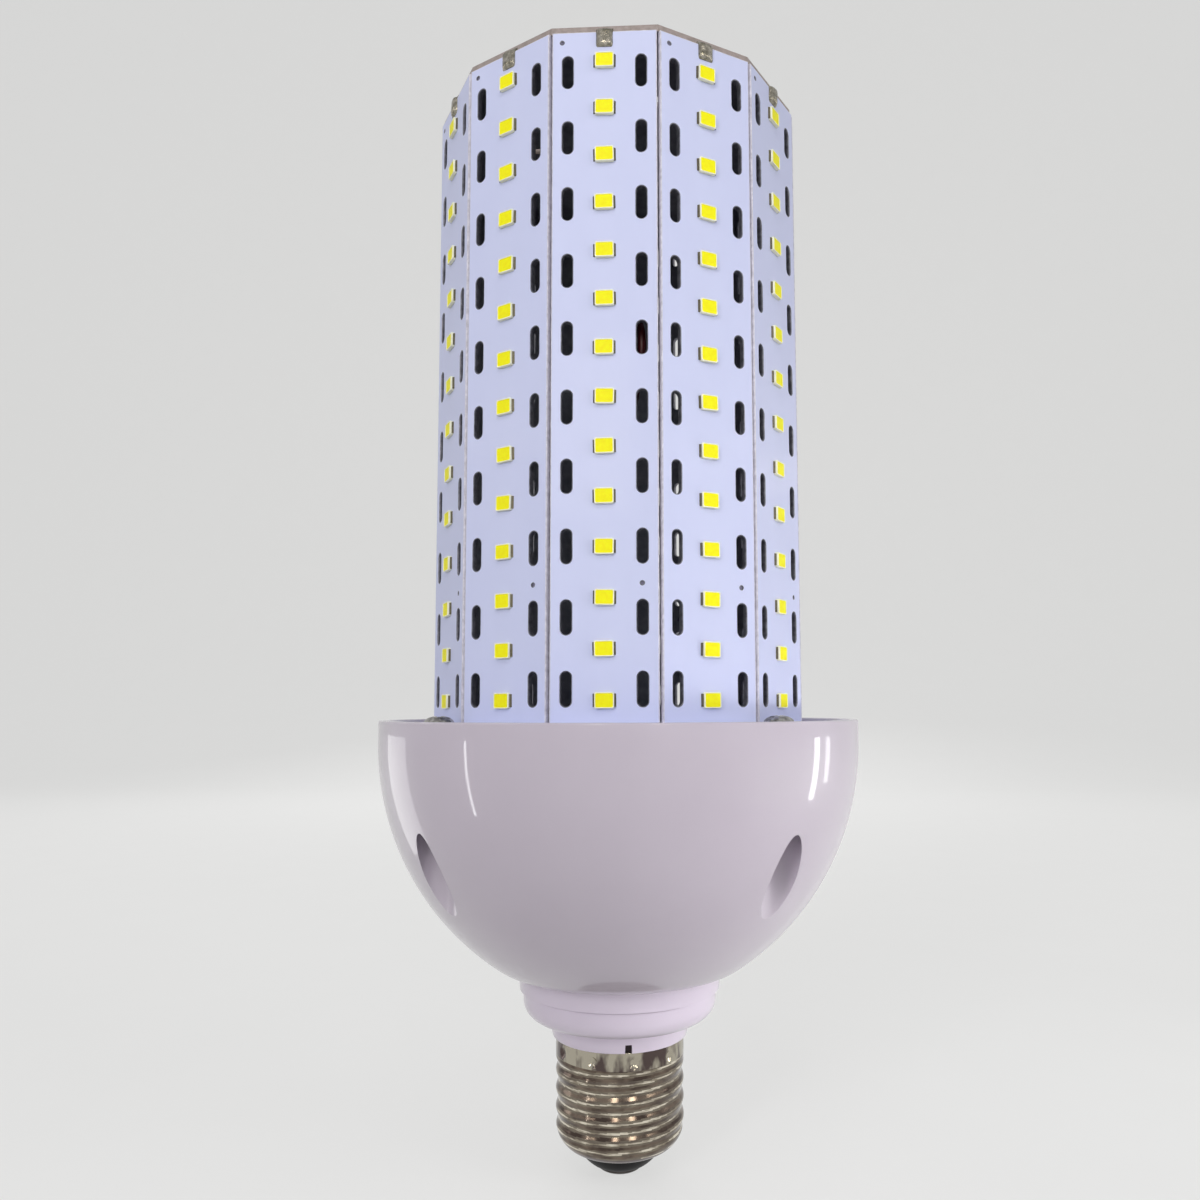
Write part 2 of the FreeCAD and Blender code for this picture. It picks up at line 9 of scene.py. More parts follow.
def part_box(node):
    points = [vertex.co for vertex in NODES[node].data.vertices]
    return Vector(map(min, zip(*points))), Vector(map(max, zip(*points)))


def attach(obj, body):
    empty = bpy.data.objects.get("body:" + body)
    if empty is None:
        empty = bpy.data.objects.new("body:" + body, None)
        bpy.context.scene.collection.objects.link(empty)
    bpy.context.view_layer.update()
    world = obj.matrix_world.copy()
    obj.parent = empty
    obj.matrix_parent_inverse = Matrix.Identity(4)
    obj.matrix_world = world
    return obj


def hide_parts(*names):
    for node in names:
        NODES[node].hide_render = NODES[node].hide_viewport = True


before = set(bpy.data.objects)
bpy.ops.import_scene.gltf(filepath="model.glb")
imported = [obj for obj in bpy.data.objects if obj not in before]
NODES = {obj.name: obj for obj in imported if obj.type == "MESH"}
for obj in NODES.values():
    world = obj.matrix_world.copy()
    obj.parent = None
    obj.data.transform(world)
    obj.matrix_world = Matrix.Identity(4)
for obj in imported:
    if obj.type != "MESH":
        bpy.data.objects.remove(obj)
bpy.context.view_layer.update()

MM = 0.001
ROOT = "root"
random.seed(27)

# Camera, from a fit of the photograph's perspective
PHOTO_SIZE = 1200.0
CAMERA_FOCAL_PX = 955.5
CAMERA_CENTRE_PX = (638.0, 630.6)
CAMERA_DISTANCE = 202.5 * MM
CAMERA_ABOVE_RIM = 2.3 * MM
CAMERA_AZIMUTH = 4.06
CAMERA_PITCH = 4.65
CAMERA_YAW = 1.12
CAMERA_ROLL = 0.15

# Strips
STRIP_COUNT = 12
STEP = 2 * math.pi / STRIP_COUNT
CHIPS_PER_STRIP = 14
VENTS_PER_COLUMN = 10
VENT_PITCH = 12.5 * MM
VENT_OFFSET = 6.7 * MM
VENT_WIDTH = 1.84 * MM
VENT_LENGTH = 6.0 * MM
VENT_END_POINTS = 10
BOARD_BEVEL = 0.2 * MM
PLATE_BEVEL = 0.07 * MM
PINHOLE_RADIUS = 0.28 * MM
PINHOLE_SINK = 0.2 * MM
PINHOLE_PLUG_PLAY = 0.05 * MM
PINHOLE_HIGH = (-7.75 * MM, 3.8 * MM)
PINHOLE_LOW = (6.65 * MM, -0.3 * MM)
TAB_WIDTH = 6.0 * MM

# Chips
CHIP_BODY_SHARE = 0.98
PAD_REACH = 0.34 * MM
CHIP_CORNER = 0.28 * MM
CHIP_BORDER = 0.16 * MM
CHIP_EDGE = 0.06 * MM
CHIP_SINK = 0.07 * MM
PAD_HEIGHT_SHARE = 0.82
CHIP_SKEW = 1.2
CHIP_SHIFT = 0.06

# Solder joints and top plate
SOLDER_HALF_WIDTH = 1.68 * MM
SOLDER_DROP = 3.1 * MM
SOLDER_RISE = 0.9 * MM
SOLDER_DOME = 0.8 * MM
SOLDER_REACH = 0.9 * MM
TOP_INSET = 0.6 * MM
TOP_HOLE_RADIUS = 3.5 * MM
TOP_VENT_CIRCLE = 19.0 * MM
TOP_CHIP_CIRCLES = ((STRIP_COUNT, 26.5 * MM), (6, 11.5 * MM))

# Cup and neck, as turned outlines
TURNED_SEGMENTS = 224
CUP_WALL = 3.0 * MM
CUP_STRAIGHT = 4.2 * MM
CUP_LOW_ROUND = 9.7 * MM
COLLAR_TOP_HEIGHT = 3.9 * MM
COLLAR_SEAM = 0.2 * MM
COLLAR_TOP_RADIUS = 20.7 * MM
COLLAR_TOP_LOW_RADIUS = 20.5 * MM
RIM_WALL = 1.8 * MM
RIM_ROUND = 0.35 * MM
POCKET_RADIUS = 3.65 * MM
POCKET_DEPTH = 9.8 * MM
BOSS_WALL = 1.2 * MM
BOSS_FOOT = 6.0 * MM
LIP_RADIUS = 18.3 * MM
LIP_WALL = 2.2 * MM
CUP_BORE_STEP = 1.25 * MM
NECK_BORE = 9.6 * MM
NECK_LOW_RADIUS = 13.8 * MM
NECK_LOW_HEIGHT = 3.9 * MM
NECK_LOW_FLARE = 0.5 * MM
NECK_MID_ROUND = 3.3 * MM
NECK_EASE = 0.3 * MM
SPIGOT_INSET = 1.25 * MM
SCREW_CIRCLE = 43.2 * MM
SCREW_COUNT = 4
SCREW_FIRST_ANGLE = math.radians(45)
SCREW_HEAD_RADIUS = 2.9 * MM
SCREW_HEAD_HEIGHT = 2.4 * MM
SCREW_SHANK_RADIUS = 1.4 * MM
CROSS_ANGLES = (0.35, 0.35 + math.pi / 2)
LEAD_RADIUS = 0.8 * MM

# Cap and tip
CAP_WALL = 0.3 * MM
CAP_EDGE = 0.1 * MM
SHOULDER_RADIUS = 10.2 * MM
SHOULDER_STEPS = 14
CONTACT_HEIGHT = 1.5 * MM
CONTACT_STEM_RADIUS = 1.5 * MM
INSULATOR_WALL = 3.0 * MM
THREAD_PITCH = 3.63 * MM
THREAD_DEPTH = 0.5 * MM
FOOT_TAPER = 1.0 * MM
FOOT_TAPER_TOP = 10.2 * MM
THREAD_LOW = 8.2 * MM
THREAD_HIGH = 22.9 * MM
THREAD_FADE = 1.6 * MM
CAP_FOOT_TOP = 6.6 * MM
CAP_COLUMNS = 440
# Where the thread's painted highlight lines and painted dark bands begin
CAP_HIGHLIGHT_RISE = 0.955
CAP_DARK_RISE = 0.5
CAP_ROW = 0.14 * MM
DIMPLE_COUNT = 10
DIMPLE_PHASE = math.radians(34)
DIMPLE_LEVEL = 24.9 * MM
DIMPLE_RADIUS = 1.2 * MM
DIMPLE_DEPTH = 0.5 * MM
NOTCH_ANGLE = math.radians(11)
NOTCH_WIDTH = 1.3 * MM
NOTCH_HEIGHT = 1.75 * MM
NOTCH_FRONT = 13.75 * MM
NOTCH_BACK = 12.5 * MM

# Stage and light; bearings are in degrees from the camera's own, to its right
PAPER_GLOW_SHARE = 0.65
PAPER_GLOW = (0.94, 0.94, 0.93)
LIGHT_MIDDLE = 110 * MM
WORLD_LEVEL = 0.28
WORLD_SEEN = 0.72
STAGE_HALF_WIDTH = 1.6
STAGE_FRONT = -1.2
STAGE_BACK = 1.3
STAGE_BEND = 0.45
STAGE_TOP = 2.2
STAGE_STEPS = 16
STUDIO_REACH = 0.96
FAR_STRIP_HEIGHT = 0.42
FAR_STRIP_COLOUR = (1.0, 0.95, 0.84)
EDGE_DISTANCE = 0.13
EDGE_TOP = 87 * MM


# Shaders

def principled(name):
    """A new material and its main shader."""
    material = bpy.data.materials.new(name)
    material.use_nodes = True
    return material, material.node_tree.nodes["Principled BSDF"]


def add_node(material, kind, **values):
    """A node in the material, with its plain properties set."""
    node = material.node_tree.nodes.new(kind)
    for key, value in values.items():
        setattr(node, key, value)
    return node


def link(material, source, target):
    """Join two sockets."""
    material.node_tree.links.new(source, target)


def noise(material, scale, stretch=None):
    """A noise texture in object space; scale is per metre."""
    place = add_node(material, "ShaderNodeTexCoord")
    texture = add_node(material, "ShaderNodeTexNoise")
    texture.inputs["Scale"].default_value = scale
    texture.inputs["Detail"].default_value = 3.0
    texture.inputs["Roughness"].default_value = 0.55
    if stretch is None:
        link(material, place.outputs["Object"], texture.inputs["Vector"])
        return texture.outputs["Fac"]
    mapping = add_node(material, "ShaderNodeMapping")
    mapping.inputs["Scale"].default_value = stretch
    link(material, place.outputs["Object"], mapping.inputs["Vector"])
    link(material, mapping.outputs["Vector"], texture.inputs["Vector"])
    return texture.outputs["Fac"]


def ramp(material, source, stops):
    """A colour ramp over a value; stops are (place, colour)."""
    node = add_node(material, "ShaderNodeValToRGB")
    ramp_stops = node.color_ramp.elements
    while len(ramp_stops) < len(stops):
        ramp_stops.new(0.5)
    for stop, (place, colour) in zip(ramp_stops, stops):
        stop.position = place
        stop.color = (*colour, 1.0)
    link(material, source, node.inputs["Fac"])
    return node.outputs["Color"]


def spread(material, source, low, high):
    """A value remapped from 0..1 to low..high."""
    node = add_node(material, "ShaderNodeMapRange")
    node.inputs["To Min"].default_value = low
    node.inputs["To Max"].default_value = high
    link(material, source, node.inputs["Value"])
    return node.outputs["Result"]


def bump(material, shader, height, strength, distance):
    """A fine relief on the shader's normal."""
    node = add_node(material, "ShaderNodeBump")
    node.inputs["Strength"].default_value = strength
    node.inputs["Distance"].default_value = distance
    link(material, height, node.inputs["Height"])
    link(material, node.outputs["Normal"], shader.inputs["Normal"])


def surface(name, colour, shade, roughness, metallic=0.0, scale=400.0, relief=0.1, depth=0.05 * MM,
            coat=0.0, specular=0.5, stretch=None, rough_span=0.06, contrast=0.2):
    """A material whose colour, gloss and relief vary a little over the surface."""
    material, shader = principled(name)
    grain = noise(material, scale, stretch=stretch)
    colours = ramp(material, grain, [(0.5 - contrast, shade), (0.5 + contrast, colour)])
    link(material, colours, shader.inputs["Base Color"])
    link(material, spread(material, grain, roughness - rough_span, roughness + rough_span),
         shader.inputs["Roughness"])
    shader.inputs["Metallic"].default_value = metallic
    shader.inputs["Coat Weight"].default_value = coat
    shader.inputs["Coat Roughness"].default_value = 0.05
    shader.inputs["Specular IOR Level"].default_value = specular
    bump(material, shader, noise(material, scale * 2.5, stretch=stretch), relief, depth)
    return material


# Every finish on the lamp, by a plain name
MATERIALS = {
    "mask": surface(
        "strip_mask", (0.60, 0.63, 0.85), (0.585, 0.615, 0.835), 0.42, scale=160.0, relief=0.02,
        depth=0.01 * MM, coat=0.05, specular=0.3, stretch=(1.0, 1.0, 0.35)
    ),
    "board_edge": surface(
        "strip_edge", (0.72, 0.70, 0.78), (0.50, 0.48, 0.55), 0.42, metallic=0.1, scale=900.0, relief=0.2
    ),
    # The board's cut edge inside the slots, painted darker than board_edge as shade
    "slot_edge_painted_shade": surface(
        "slot_edge_painted_shade", (0.22, 0.22, 0.26), (0.10, 0.10, 0.12), 0.34, metallic=0.6, scale=900.0, relief=0.15
    ),
    "board_back": surface(
        "strip_back", (0.30, 0.31, 0.36), (0.20, 0.21, 0.25), 0.5, metallic=0.3, scale=500.0
    ),
    "pinhole": surface("pinhole", (0.18, 0.17, 0.25), (0.12, 0.11, 0.17), 0.5, scale=1500.0),
    "plate_edge": surface(
        "plate_edge", (0.36, 0.30, 0.28), (0.25, 0.21, 0.19), 0.5, metallic=0.1, scale=900.0, relief=0.25
    ),
    "phosphor": surface(
        "chip_window", (0.93, 0.90, 0.004), (0.91, 0.82, 0.003), 0.45, scale=1500.0, relief=0.1,
        depth=0.02 * MM, specular=0.25
    ),
    "chip_body": surface("chip_body", (0.92, 0.91, 0.70), (0.86, 0.85, 0.62), 0.35, scale=1200.0),
    "chip_pad": surface(
        "chip_pad", (0.16, 0.14, 0.09), (0.09, 0.08, 0.05), 0.35, metallic=0.6, scale=2500.0, relief=0.3
    ),
    "solder": surface(
        "solder", (0.44, 0.41, 0.35), (0.14, 0.13, 0.09), 0.2, metallic=1.0, scale=1100.0, relief=0.5,
        depth=0.12 * MM
    ),
    "cup": surface(
        "cup_plastic", (0.52, 0.465, 0.535), (0.50, 0.445, 0.515), 0.34, scale=60.0, relief=0.02,
        depth=0.03 * MM, coat=0.8, specular=0.3, rough_span=0.03
    ),
    # The same white plastic as the cup, painted lighter where the neck and collar catch more light
    "neck": surface(
        "plastic_painted_lighter", (0.67, 0.595, 0.70), (0.65, 0.575, 0.68), 0.34, scale=60.0, relief=0.02,
        depth=0.03 * MM, coat=0.8, specular=0.3, rough_span=0.03
    ),
    "notch": surface("notch_shade", (0.05, 0.03, 0.035), (0.035, 0.022, 0.026), 0.6, scale=900.0),
    # The thread's painted highlight lines (crests and roots) and painted dark bands (flanks), in place of
    # reflections
    "cap_painted_highlight": surface(
        "cap_painted_highlight", (0.78, 0.72, 0.60), (0.30, 0.26, 0.20), 0.12, metallic=1.0, scale=300.0, relief=0.1,
        stretch=(1.0, 1.0, 4.0), contrast=0.1
    ),
    "cap_painted_dark": surface(
        "cap_painted_dark", (0.20, 0.155, 0.12), (0.075, 0.055, 0.045), 0.15, metallic=1.0, scale=220.0, relief=0.1,
        contrast=0.1
    ),
    # The thread's nickel: its streaked light and dark tone is partly painted reflection, partly random tone
    "nickel": surface(
        "cap_nickel", (0.27, 0.235, 0.18), (0.12, 0.095, 0.08), 0.11, metallic=1.0, scale=300.0, relief=0.12,
        depth=0.05 * MM, stretch=(1.0, 1.0, 4.0)
    ),
    # The crimp band: strong light and dark patches, painted reflections of the studio
    "cap_band_painted_reflection": surface(
        "cap_band_painted_reflection", (0.44, 0.405, 0.325), (0.10, 0.075, 0.07), 0.16, metallic=1.0, scale=300.0, relief=0.2,
        depth=0.06 * MM, stretch=(1.0, 1.0, 0.4), contrast=0.07
    ),
    # The cap's foot: the same metal painted darker, a painted dark reflection
    "cap_foot_painted_dark": surface(
        "cap_foot_painted_dark", (0.19, 0.15, 0.14), (0.09, 0.07, 0.07), 0.2, metallic=1.0, scale=260.0, relief=0.15,
        depth=0.05 * MM, stretch=(1.0, 1.0, 3.0)
    ),
    "screw": surface(
        "screw_nickel", (0.52, 0.51, 0.49), (0.11, 0.105, 0.10), 0.22, metallic=1.0, scale=1100.0,
        relief=0.3
    ),
    "insulator": surface(
        "cap_insulator", (0.008, 0.007, 0.008), (0.004, 0.0035, 0.004), 0.4, scale=500.0, specular=0.03,
        coat=0.08
    ),
    # The contact button's metal, painted dark as a dark reflection at the tip
    "contact": surface(
        "contact_metal_painted_dark", (0.10, 0.09, 0.085), (0.05, 0.045, 0.04), 0.35, metallic=1.0, scale=700.0,
        relief=0.2
    ),
    "red_lead": surface("red_lead", (0.09, 0.006, 0.010), (0.06, 0.004, 0.007), 0.4, scale=900.0),
    "black_lead": surface("black_lead", (0.012, 0.012, 0.013), (0.007, 0.007, 0.008), 0.4, scale=900.0),
    "green_board": surface(
        "driver_board", (0.03, 0.14, 0.06), (0.02, 0.10, 0.04), 0.35, scale=500.0, coat=0.3
    ),
    "ferrite": surface("ferrite", (0.05, 0.05, 0.055), (0.03, 0.03, 0.035), 0.6, scale=1200.0),
    "tape": surface("winding_tape", (0.60, 0.42, 0.04), (0.50, 0.34, 0.03), 0.4, scale=600.0),
    "can": surface("can_sleeve", (0.02, 0.025, 0.035), (0.014, 0.017, 0.024), 0.3, scale=600.0, coat=0.4),
    "film": surface("film_box", (0.48, 0.27, 0.03), (0.40, 0.22, 0.02), 0.35, scale=700.0, coat=0.3),
    "copper": surface(
        "choke_copper", (0.45, 0.15, 0.06), (0.32, 0.10, 0.04), 0.35, metallic=0.9, scale=300.0,
        stretch=(1.0, 1.0, 12.0)
    ),
    "black_body": surface("moulded_black", (0.02, 0.02, 0.02), (0.012, 0.012, 0.012), 0.45, scale=900.0),
    "resistor": surface("resistor_body", (0.10, 0.22, 0.30), (0.07, 0.17, 0.24), 0.4, scale=900.0),
}


# Mesh helpers

def finish_piece(piece, slot, *nodes):
    """Ride on the body and stand for the CAD nodes; the slot argument is not used."""
    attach(piece, ROOT)
    if nodes:
        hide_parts(*nodes)
    return piece


def placed(name, data):
    """A new object of the data, in the scene."""
    item = bpy.data.objects.new(name, data)
    bpy.context.scene.collection.objects.link(item)
    return item


def new_object(name, mesh, *materials):
    """An object in the scene with its material slots."""
    for material in materials:
        mesh.materials.append(MATERIALS[material])
    return placed(name, mesh)


def smooth(mesh, angle=32.0):
    """Smooth shading with creases at the sharp edges."""
    for face in mesh.polygons:
        face.use_smooth = True
    mesh.set_sharp_from_angle(angle=math.radians(angle))


def flatten(mesh, axis):
    """Flat shading on the faces square to an axis, so that eased edges don't bend their light."""
    for face in mesh.polygons:
        if abs(face.normal[axis]) > 0.98:
            face.use_smooth = False


def face_outwards(mesh, merge=None):
    """Turn the mesh's faces outwards, after its doubled points are merged."""
    work = bmesh.new()
    work.from_mesh(mesh)
    if merge:
        bmesh.ops.remove_doubles(work, verts=work.verts, dist=merge)
    bmesh.ops.recalc_face_normals(work, faces=work.faces)
    work.to_mesh(mesh)
    work.free()
    return mesh


def mesh_from(name, vertices, faces):
    """A mesh with outward faces."""
    mesh = bpy.data.meshes.new(name)
    mesh.from_pydata(vertices, [], faces)
    return face_outwards(mesh, 1e-7)


def made_mesh(name, maker, **sizes):
    """A mesh from one of bmesh's own makers."""
    work = bmesh.new()
    maker(work, **sizes)
    mesh = bpy.data.meshes.new(name)
    work.to_mesh(mesh)
    work.free()
    return mesh


def ring_faces(rings, count):
    """Quads between closed rings of points, and from the last ring back to the first."""
    faces = []
    for k in range(rings):
        here = k * count
        there = ((k + 1) % rings) * count
        for i in range(count):
            j = (i + 1) % count
            faces.append((here + i, there + i, there + j, here + j))
    return faces


def turned_mesh(name, profile, segments=TURNED_SEGMENTS):
    """A closed (radius, z) outline turned about the lamp's axis."""
    vertices = []
    for k in range(segments):
        turn = 2 * math.pi * k / segments
        for radius, z in profile:
            vertices.append((radius * math.cos(turn), radius * math.sin(turn), z))
    return mesh_from(name, vertices, ring_faces(segments, len(profile)))


def bezier(a, b, c, d, steps):
    """Points along a cubic curve, without its last one."""
    points = []
    for k in range(steps):
        t = k / steps
        u = 1 - t
        points.append(tuple(
            u ** 3 * a[i] + 3 * u * u * t * b[i] + 3 * u * t * t * c[i] + t ** 3 * d[i] for i in (0, 1)
        ))
    return points


def rounded(centre, radius, start, end, steps=8):
    """Points of an arc about a (radius, z) centre, angles in degrees."""
    points = []
    for k in range(steps + 1):
        turn = math.radians(start + (end - start) * k / steps)
        points.append((centre[0] + radius * math.cos(turn), centre[1] + radius * math.sin(turn)))
    return points


def spin_mesh(mesh, angle):
    """A copy of the mesh turned about the lamp's axis."""
    copy = mesh.copy()
    copy.transform(Matrix.Rotation(angle, 4, "Z"))
    return copy


def joined(name, meshes):
    """One mesh from several, keeping their material numbers."""
    work = bmesh.new()
    for mesh in meshes:
        work.from_mesh(mesh)
    result = bpy.data.meshes.new(name)
    work.to_mesh(result)
    work.free()
    for material in meshes[0].materials:
        result.materials.append(material)
    return result


def evaluated_mesh(piece):
    """The piece's mesh with its modifiers or curve settings applied."""
    bpy.context.view_layer.update()
    graph = bpy.context.evaluated_depsgraph_get()
    return bpy.data.meshes.new_from_object(piece.evaluated_get(graph))


def add_boolean(piece, other, operation):
    """Combine the piece with the other object when it is evaluated."""
    modifier = piece.modifiers.new("boolean", "BOOLEAN")
    modifier.operation = operation
    modifier.solver = "EXACT"
    modifier.object = other


def cut_away(piece, cutters):
    """Subtract the cutters' meshes from the piece, for good."""
    cutter = placed("cutter", joined("cutter", cutters))
    add_boolean(piece, cutter, "DIFFERENCE")
    result = evaluated_mesh(piece)
    piece.modifiers.clear()
    piece.data = result
    bpy.data.objects.remove(cutter)


def rod_mesh(radius, low, high, x=0.0, y=0.0, segments=48):
    """An upright cylinder."""
    mesh = made_mesh("rod", bmesh.ops.create_cone, cap_ends=True, segments=segments, radius1=radius,
                     radius2=radius, depth=high - low)
    mesh.transform(Matrix.Translation((x, y, (low + high) / 2)))
    return mesh


# Places taken from the frame

RIM_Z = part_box("driver_housing")[1].z
CUP_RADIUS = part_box("driver_housing")[1].x
COLLAR_TOP_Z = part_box("driver_housing")[0].z
SHOULDER_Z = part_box("screw_cap")[0].z
CUP_LOW_Z = COLLAR_TOP_Z + COLLAR_TOP_HEIGHT
BASE_TOP_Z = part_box("base_plate")[1].z
STRIP_TOP_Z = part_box("top_plate")[0].z
PLATE_TOP_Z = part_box("top_plate")[1].z
STRIP_LOW_Z = BASE_TOP_Z
STRIP_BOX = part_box("led_strip_01")
STRIP_FRONT = -STRIP_BOX[0].y
STRIP_BACK = -STRIP_BOX[1].y
STRIP_HALF = STRIP_BOX[1].x
TAB_LOW_Z = STRIP_BOX[0].z
CHIPS_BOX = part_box("led_chips_01")
CHIP_HALF_WIDTH = CHIPS_BOX[1].x
CHIP_THICKNESS = STRIP_BOX[0].y - CHIPS_BOX[0].y
CHIP_PITCH = 8.95 * MM
CHIP_HALF_HEIGHT = ((CHIPS_BOX[1].z - CHIPS_BOX[0].z) - (CHIPS_PER_STRIP - 1) * CHIP_PITCH) / 2
CHIP_FIRST_Z = CHIPS_BOX[0].z + CHIP_HALF_HEIGHT
CHIP_MID_Z = (CHIPS_BOX[0].z + CHIPS_BOX[1].z) / 2
CAP_TOP_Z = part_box("screw_cap")[1].z
CAP_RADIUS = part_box("screw_cap")[1].x


# Strips

def slot_loop(centre_x, centre_y, width, length):
    """Points round a long hole with half-round ends."""
    radius = width / 2
    reach = length / 2 - radius
    points = []
    for side in (1, -1):
        for k in range(VENT_END_POINTS + 1):
            turn = math.pi * k / VENT_END_POINTS
            u = side * radius * math.cos(turn)
            v = side * (reach + radius * math.sin(turn))
            points.append((centre_x + u, centre_y + v))
    return points


def circle_loop(centre_x, centre_y, radius, count=14):
    """Points round a small hole."""
    return [
        (centre_x + radius * math.cos(2 * math.pi * k / count),
         centre_y + radius * math.sin(2 * math.pi * k / count))
        for k in range(count)
    ]


def sheet_mesh(name, loops, thickness, bevel):
    """A flat sheet in XY with holes and eased edges, centred on z = 0."""
    curve = bpy.data.curves.new(name, "CURVE")
    curve.dimensions = "2D"
    curve.fill_mode = "BOTH"
    curve.extrude = thickness / 2 - bevel
    curve.bevel_depth = bevel
    curve.bevel_resolution = 1
    curve.offset = -bevel
    for loop in loops:
        spline = curve.splines.new("POLY")
        spline.points.add(len(loop) - 1)
        for point, (x, y) in zip(spline.points, loop):
            point.co = (x, y, 0.0, 1.0)
        spline.use_cyclic_u = True
    holder = placed(name, curve)
    mesh = evaluated_mesh(holder)
    bpy.data.objects.remove(holder)
    return face_outwards(mesh, 1e-6)


def strip_mesh():
    """Strip 1: a slotted board with the pinholes' floors, and a finish for each kind of face."""
    middle = (STRIP_LOW_Z + STRIP_TOP_Z) / 2
    half = TAB_WIDTH / 2
    low = STRIP_LOW_Z - middle
    high = STRIP_TOP_Z - middle
    tab = TAB_LOW_Z - middle
    outer = [(-STRIP_HALF, high), (-STRIP_HALF, low), (-half, low), (-half, tab), (half, tab),
             (half, low), (STRIP_HALF, low), (STRIP_HALF, high)]
    loops = [outer]
    vents = CHIP_MID_Z - middle - 0.5 * (VENTS_PER_COLUMN - 1) * VENT_PITCH
    for row in range(VENTS_PER_COLUMN):
        for side in (-1, 1):
            loops.append(slot_loop(side * VENT_OFFSET, vents + row * VENT_PITCH, VENT_WIDTH, VENT_LENGTH))
    top_chip = CHIP_FIRST_Z + (CHIPS_PER_STRIP - 1) * CHIP_PITCH - middle
    pinholes = [(PINHOLE_HIGH[0], top_chip + PINHOLE_HIGH[1]),
                (PINHOLE_LOW[0], vents + 1.5 * VENT_PITCH + PINHOLE_LOW[1])]
    loops += [circle_loop(x, y, PINHOLE_RADIUS) for x, y in pinholes]
    thickness = STRIP_FRONT - STRIP_BACK
    mesh = sheet_mesh("strip", loops, thickness, BOARD_BEVEL)
    plugs = [rod_mesh(PINHOLE_RADIUS + PINHOLE_PLUG_PLAY, 0.03 * MM - thickness / 2,
                      thickness / 2 - PINHOLE_SINK, x, y, 14) for x, y in pinholes]
    for plug in plugs:
        for face in plug.polygons:
            face.material_index = 3
    board_faces = len(mesh.polygons)
    mesh = joined("strip", [mesh] + plugs)
    mesh.transform(Matrix.Rotation(math.radians(90), 4, "X"))
    mesh.transform(Matrix.Translation((0, -(STRIP_FRONT + STRIP_BACK) / 2, middle)))
    mesh.update()
    for name in ("mask", "board_edge", "board_back", "pinhole", "slot_edge_painted_shade"):
        mesh.materials.append(MATERIALS[name])
    for face in mesh.polygons[:board_faces]:
        place = face.center
        inside = abs(place.x) < STRIP_HALF - 0.5 * MM and STRIP_LOW_Z + MM < place.z < STRIP_TOP_Z - MM
        if face.normal.y < -0.98:
            face.material_index = 0
        elif face.normal.y > 0.9:
            face.material_index = 2
        else:
            # Cut edges inside the slots take the darker painted-shade copy of the edge
            face.material_index = 4 if inside else 1
    smooth(mesh, 25.0)
    flatten(mesh, 1)
    return mesh


def ring_box(half_width, half_height, corner, steps=3):
    """Points of a rounded rectangle in a chip's own plane."""
    points = []
    for sx, sy, start in ((1, 1, 0), (-1, 1, 90), (-1, -1, 180), (1, -1, 270)):
        cx = sx * (half_width - corner)
        cy = sy * (half_height - corner)
        for k in range(steps + 1):
            turn = math.radians(start + 90 * k / steps)
            points.append((cx + corner * math.cos(turn), cy + corner * math.sin(turn)))
    return points


def chip_mesh():
    """One chip lying on z = 0: material 0 is the window, 1 the body, 2 the solder pads."""
    half_width = CHIP_HALF_WIDTH * CHIP_BODY_SHARE
    half_height = CHIP_HALF_HEIGHT
    rings = [
        (half_width, half_height, CHIP_CORNER, 0.02 * MM),
        (half_width, half_height, CHIP_CORNER, CHIP_THICKNESS - CHIP_EDGE),
        (half_width - CHIP_EDGE, half_height - CHIP_EDGE, CHIP_CORNER - CHIP_EDGE / 2, CHIP_THICKNESS),
        (half_width - CHIP_BORDER, half_height - CHIP_BORDER, CHIP_CORNER, CHIP_THICKNESS),
        (half_width - CHIP_BORDER * 1.15, half_height - CHIP_BORDER * 1.15, CHIP_CORNER,
         CHIP_THICKNESS - CHIP_SINK),
        (half_width * 0.45, half_height * 0.45, CHIP_CORNER, CHIP_THICKNESS - CHIP_SINK * 0.75),
    ]
    vertices = []
    faces = []
    numbers = []
    for number, (a, b, corner, z) in enumerate(rings):
        loop = ring_box(a, b, corner)
        start = len(vertices)
        vertices += [(x, y, z) for x, y in loop]
        count = len(loop)
        if number == 0:
            faces.append(tuple(range(start, start + count)))
            numbers.append(1)
            continue
        for i in range(count):
            j = (i + 1) % count
            faces.append((start - count + i, start - count + j, start + j, start + i))
            numbers.append(0 if number == len(rings) - 1 else 1)
    faces.append(tuple(range(len(vertices) - count, len(vertices))))
    numbers.append(0)
    for side in (-1, 1):
        start = len(vertices)
        reach = half_width + PAD_REACH
        tall = half_height * PAD_HEIGHT_SHARE
        inner = half_width - 0.4 * MM
        for x, z in ((inner, 0.0), (reach, 0.0), (reach - 0.06 * MM, 0.1 * MM), (half_width, 0.34 * MM),
                     (inner, 0.34 * MM)):
            for y in (-tall, tall):
                vertices.append((side * x, y, z))
        for i in range(5):
            j = (i + 1) % 5
            faces.append((start + 2 * i, start + 2 * j, start + 2 * j + 1, start + 2 * i + 1))
            numbers.append(2)
        for y in (0, 1):
            faces.append(tuple(start + 2 * i + y for i in range(5)))
            numbers.append(2)
    mesh = bpy.data.meshes.new("chip")
    mesh.from_pydata(vertices, [], faces)
    for face, number in zip(mesh.polygons, numbers):
        face.material_index = number
    face_outwards(mesh)
    for name in ("phosphor", "chip_body", "chip_pad"):
        mesh.materials.append(MATERIALS[name])
    smooth(mesh, 40.0)
    return mesh


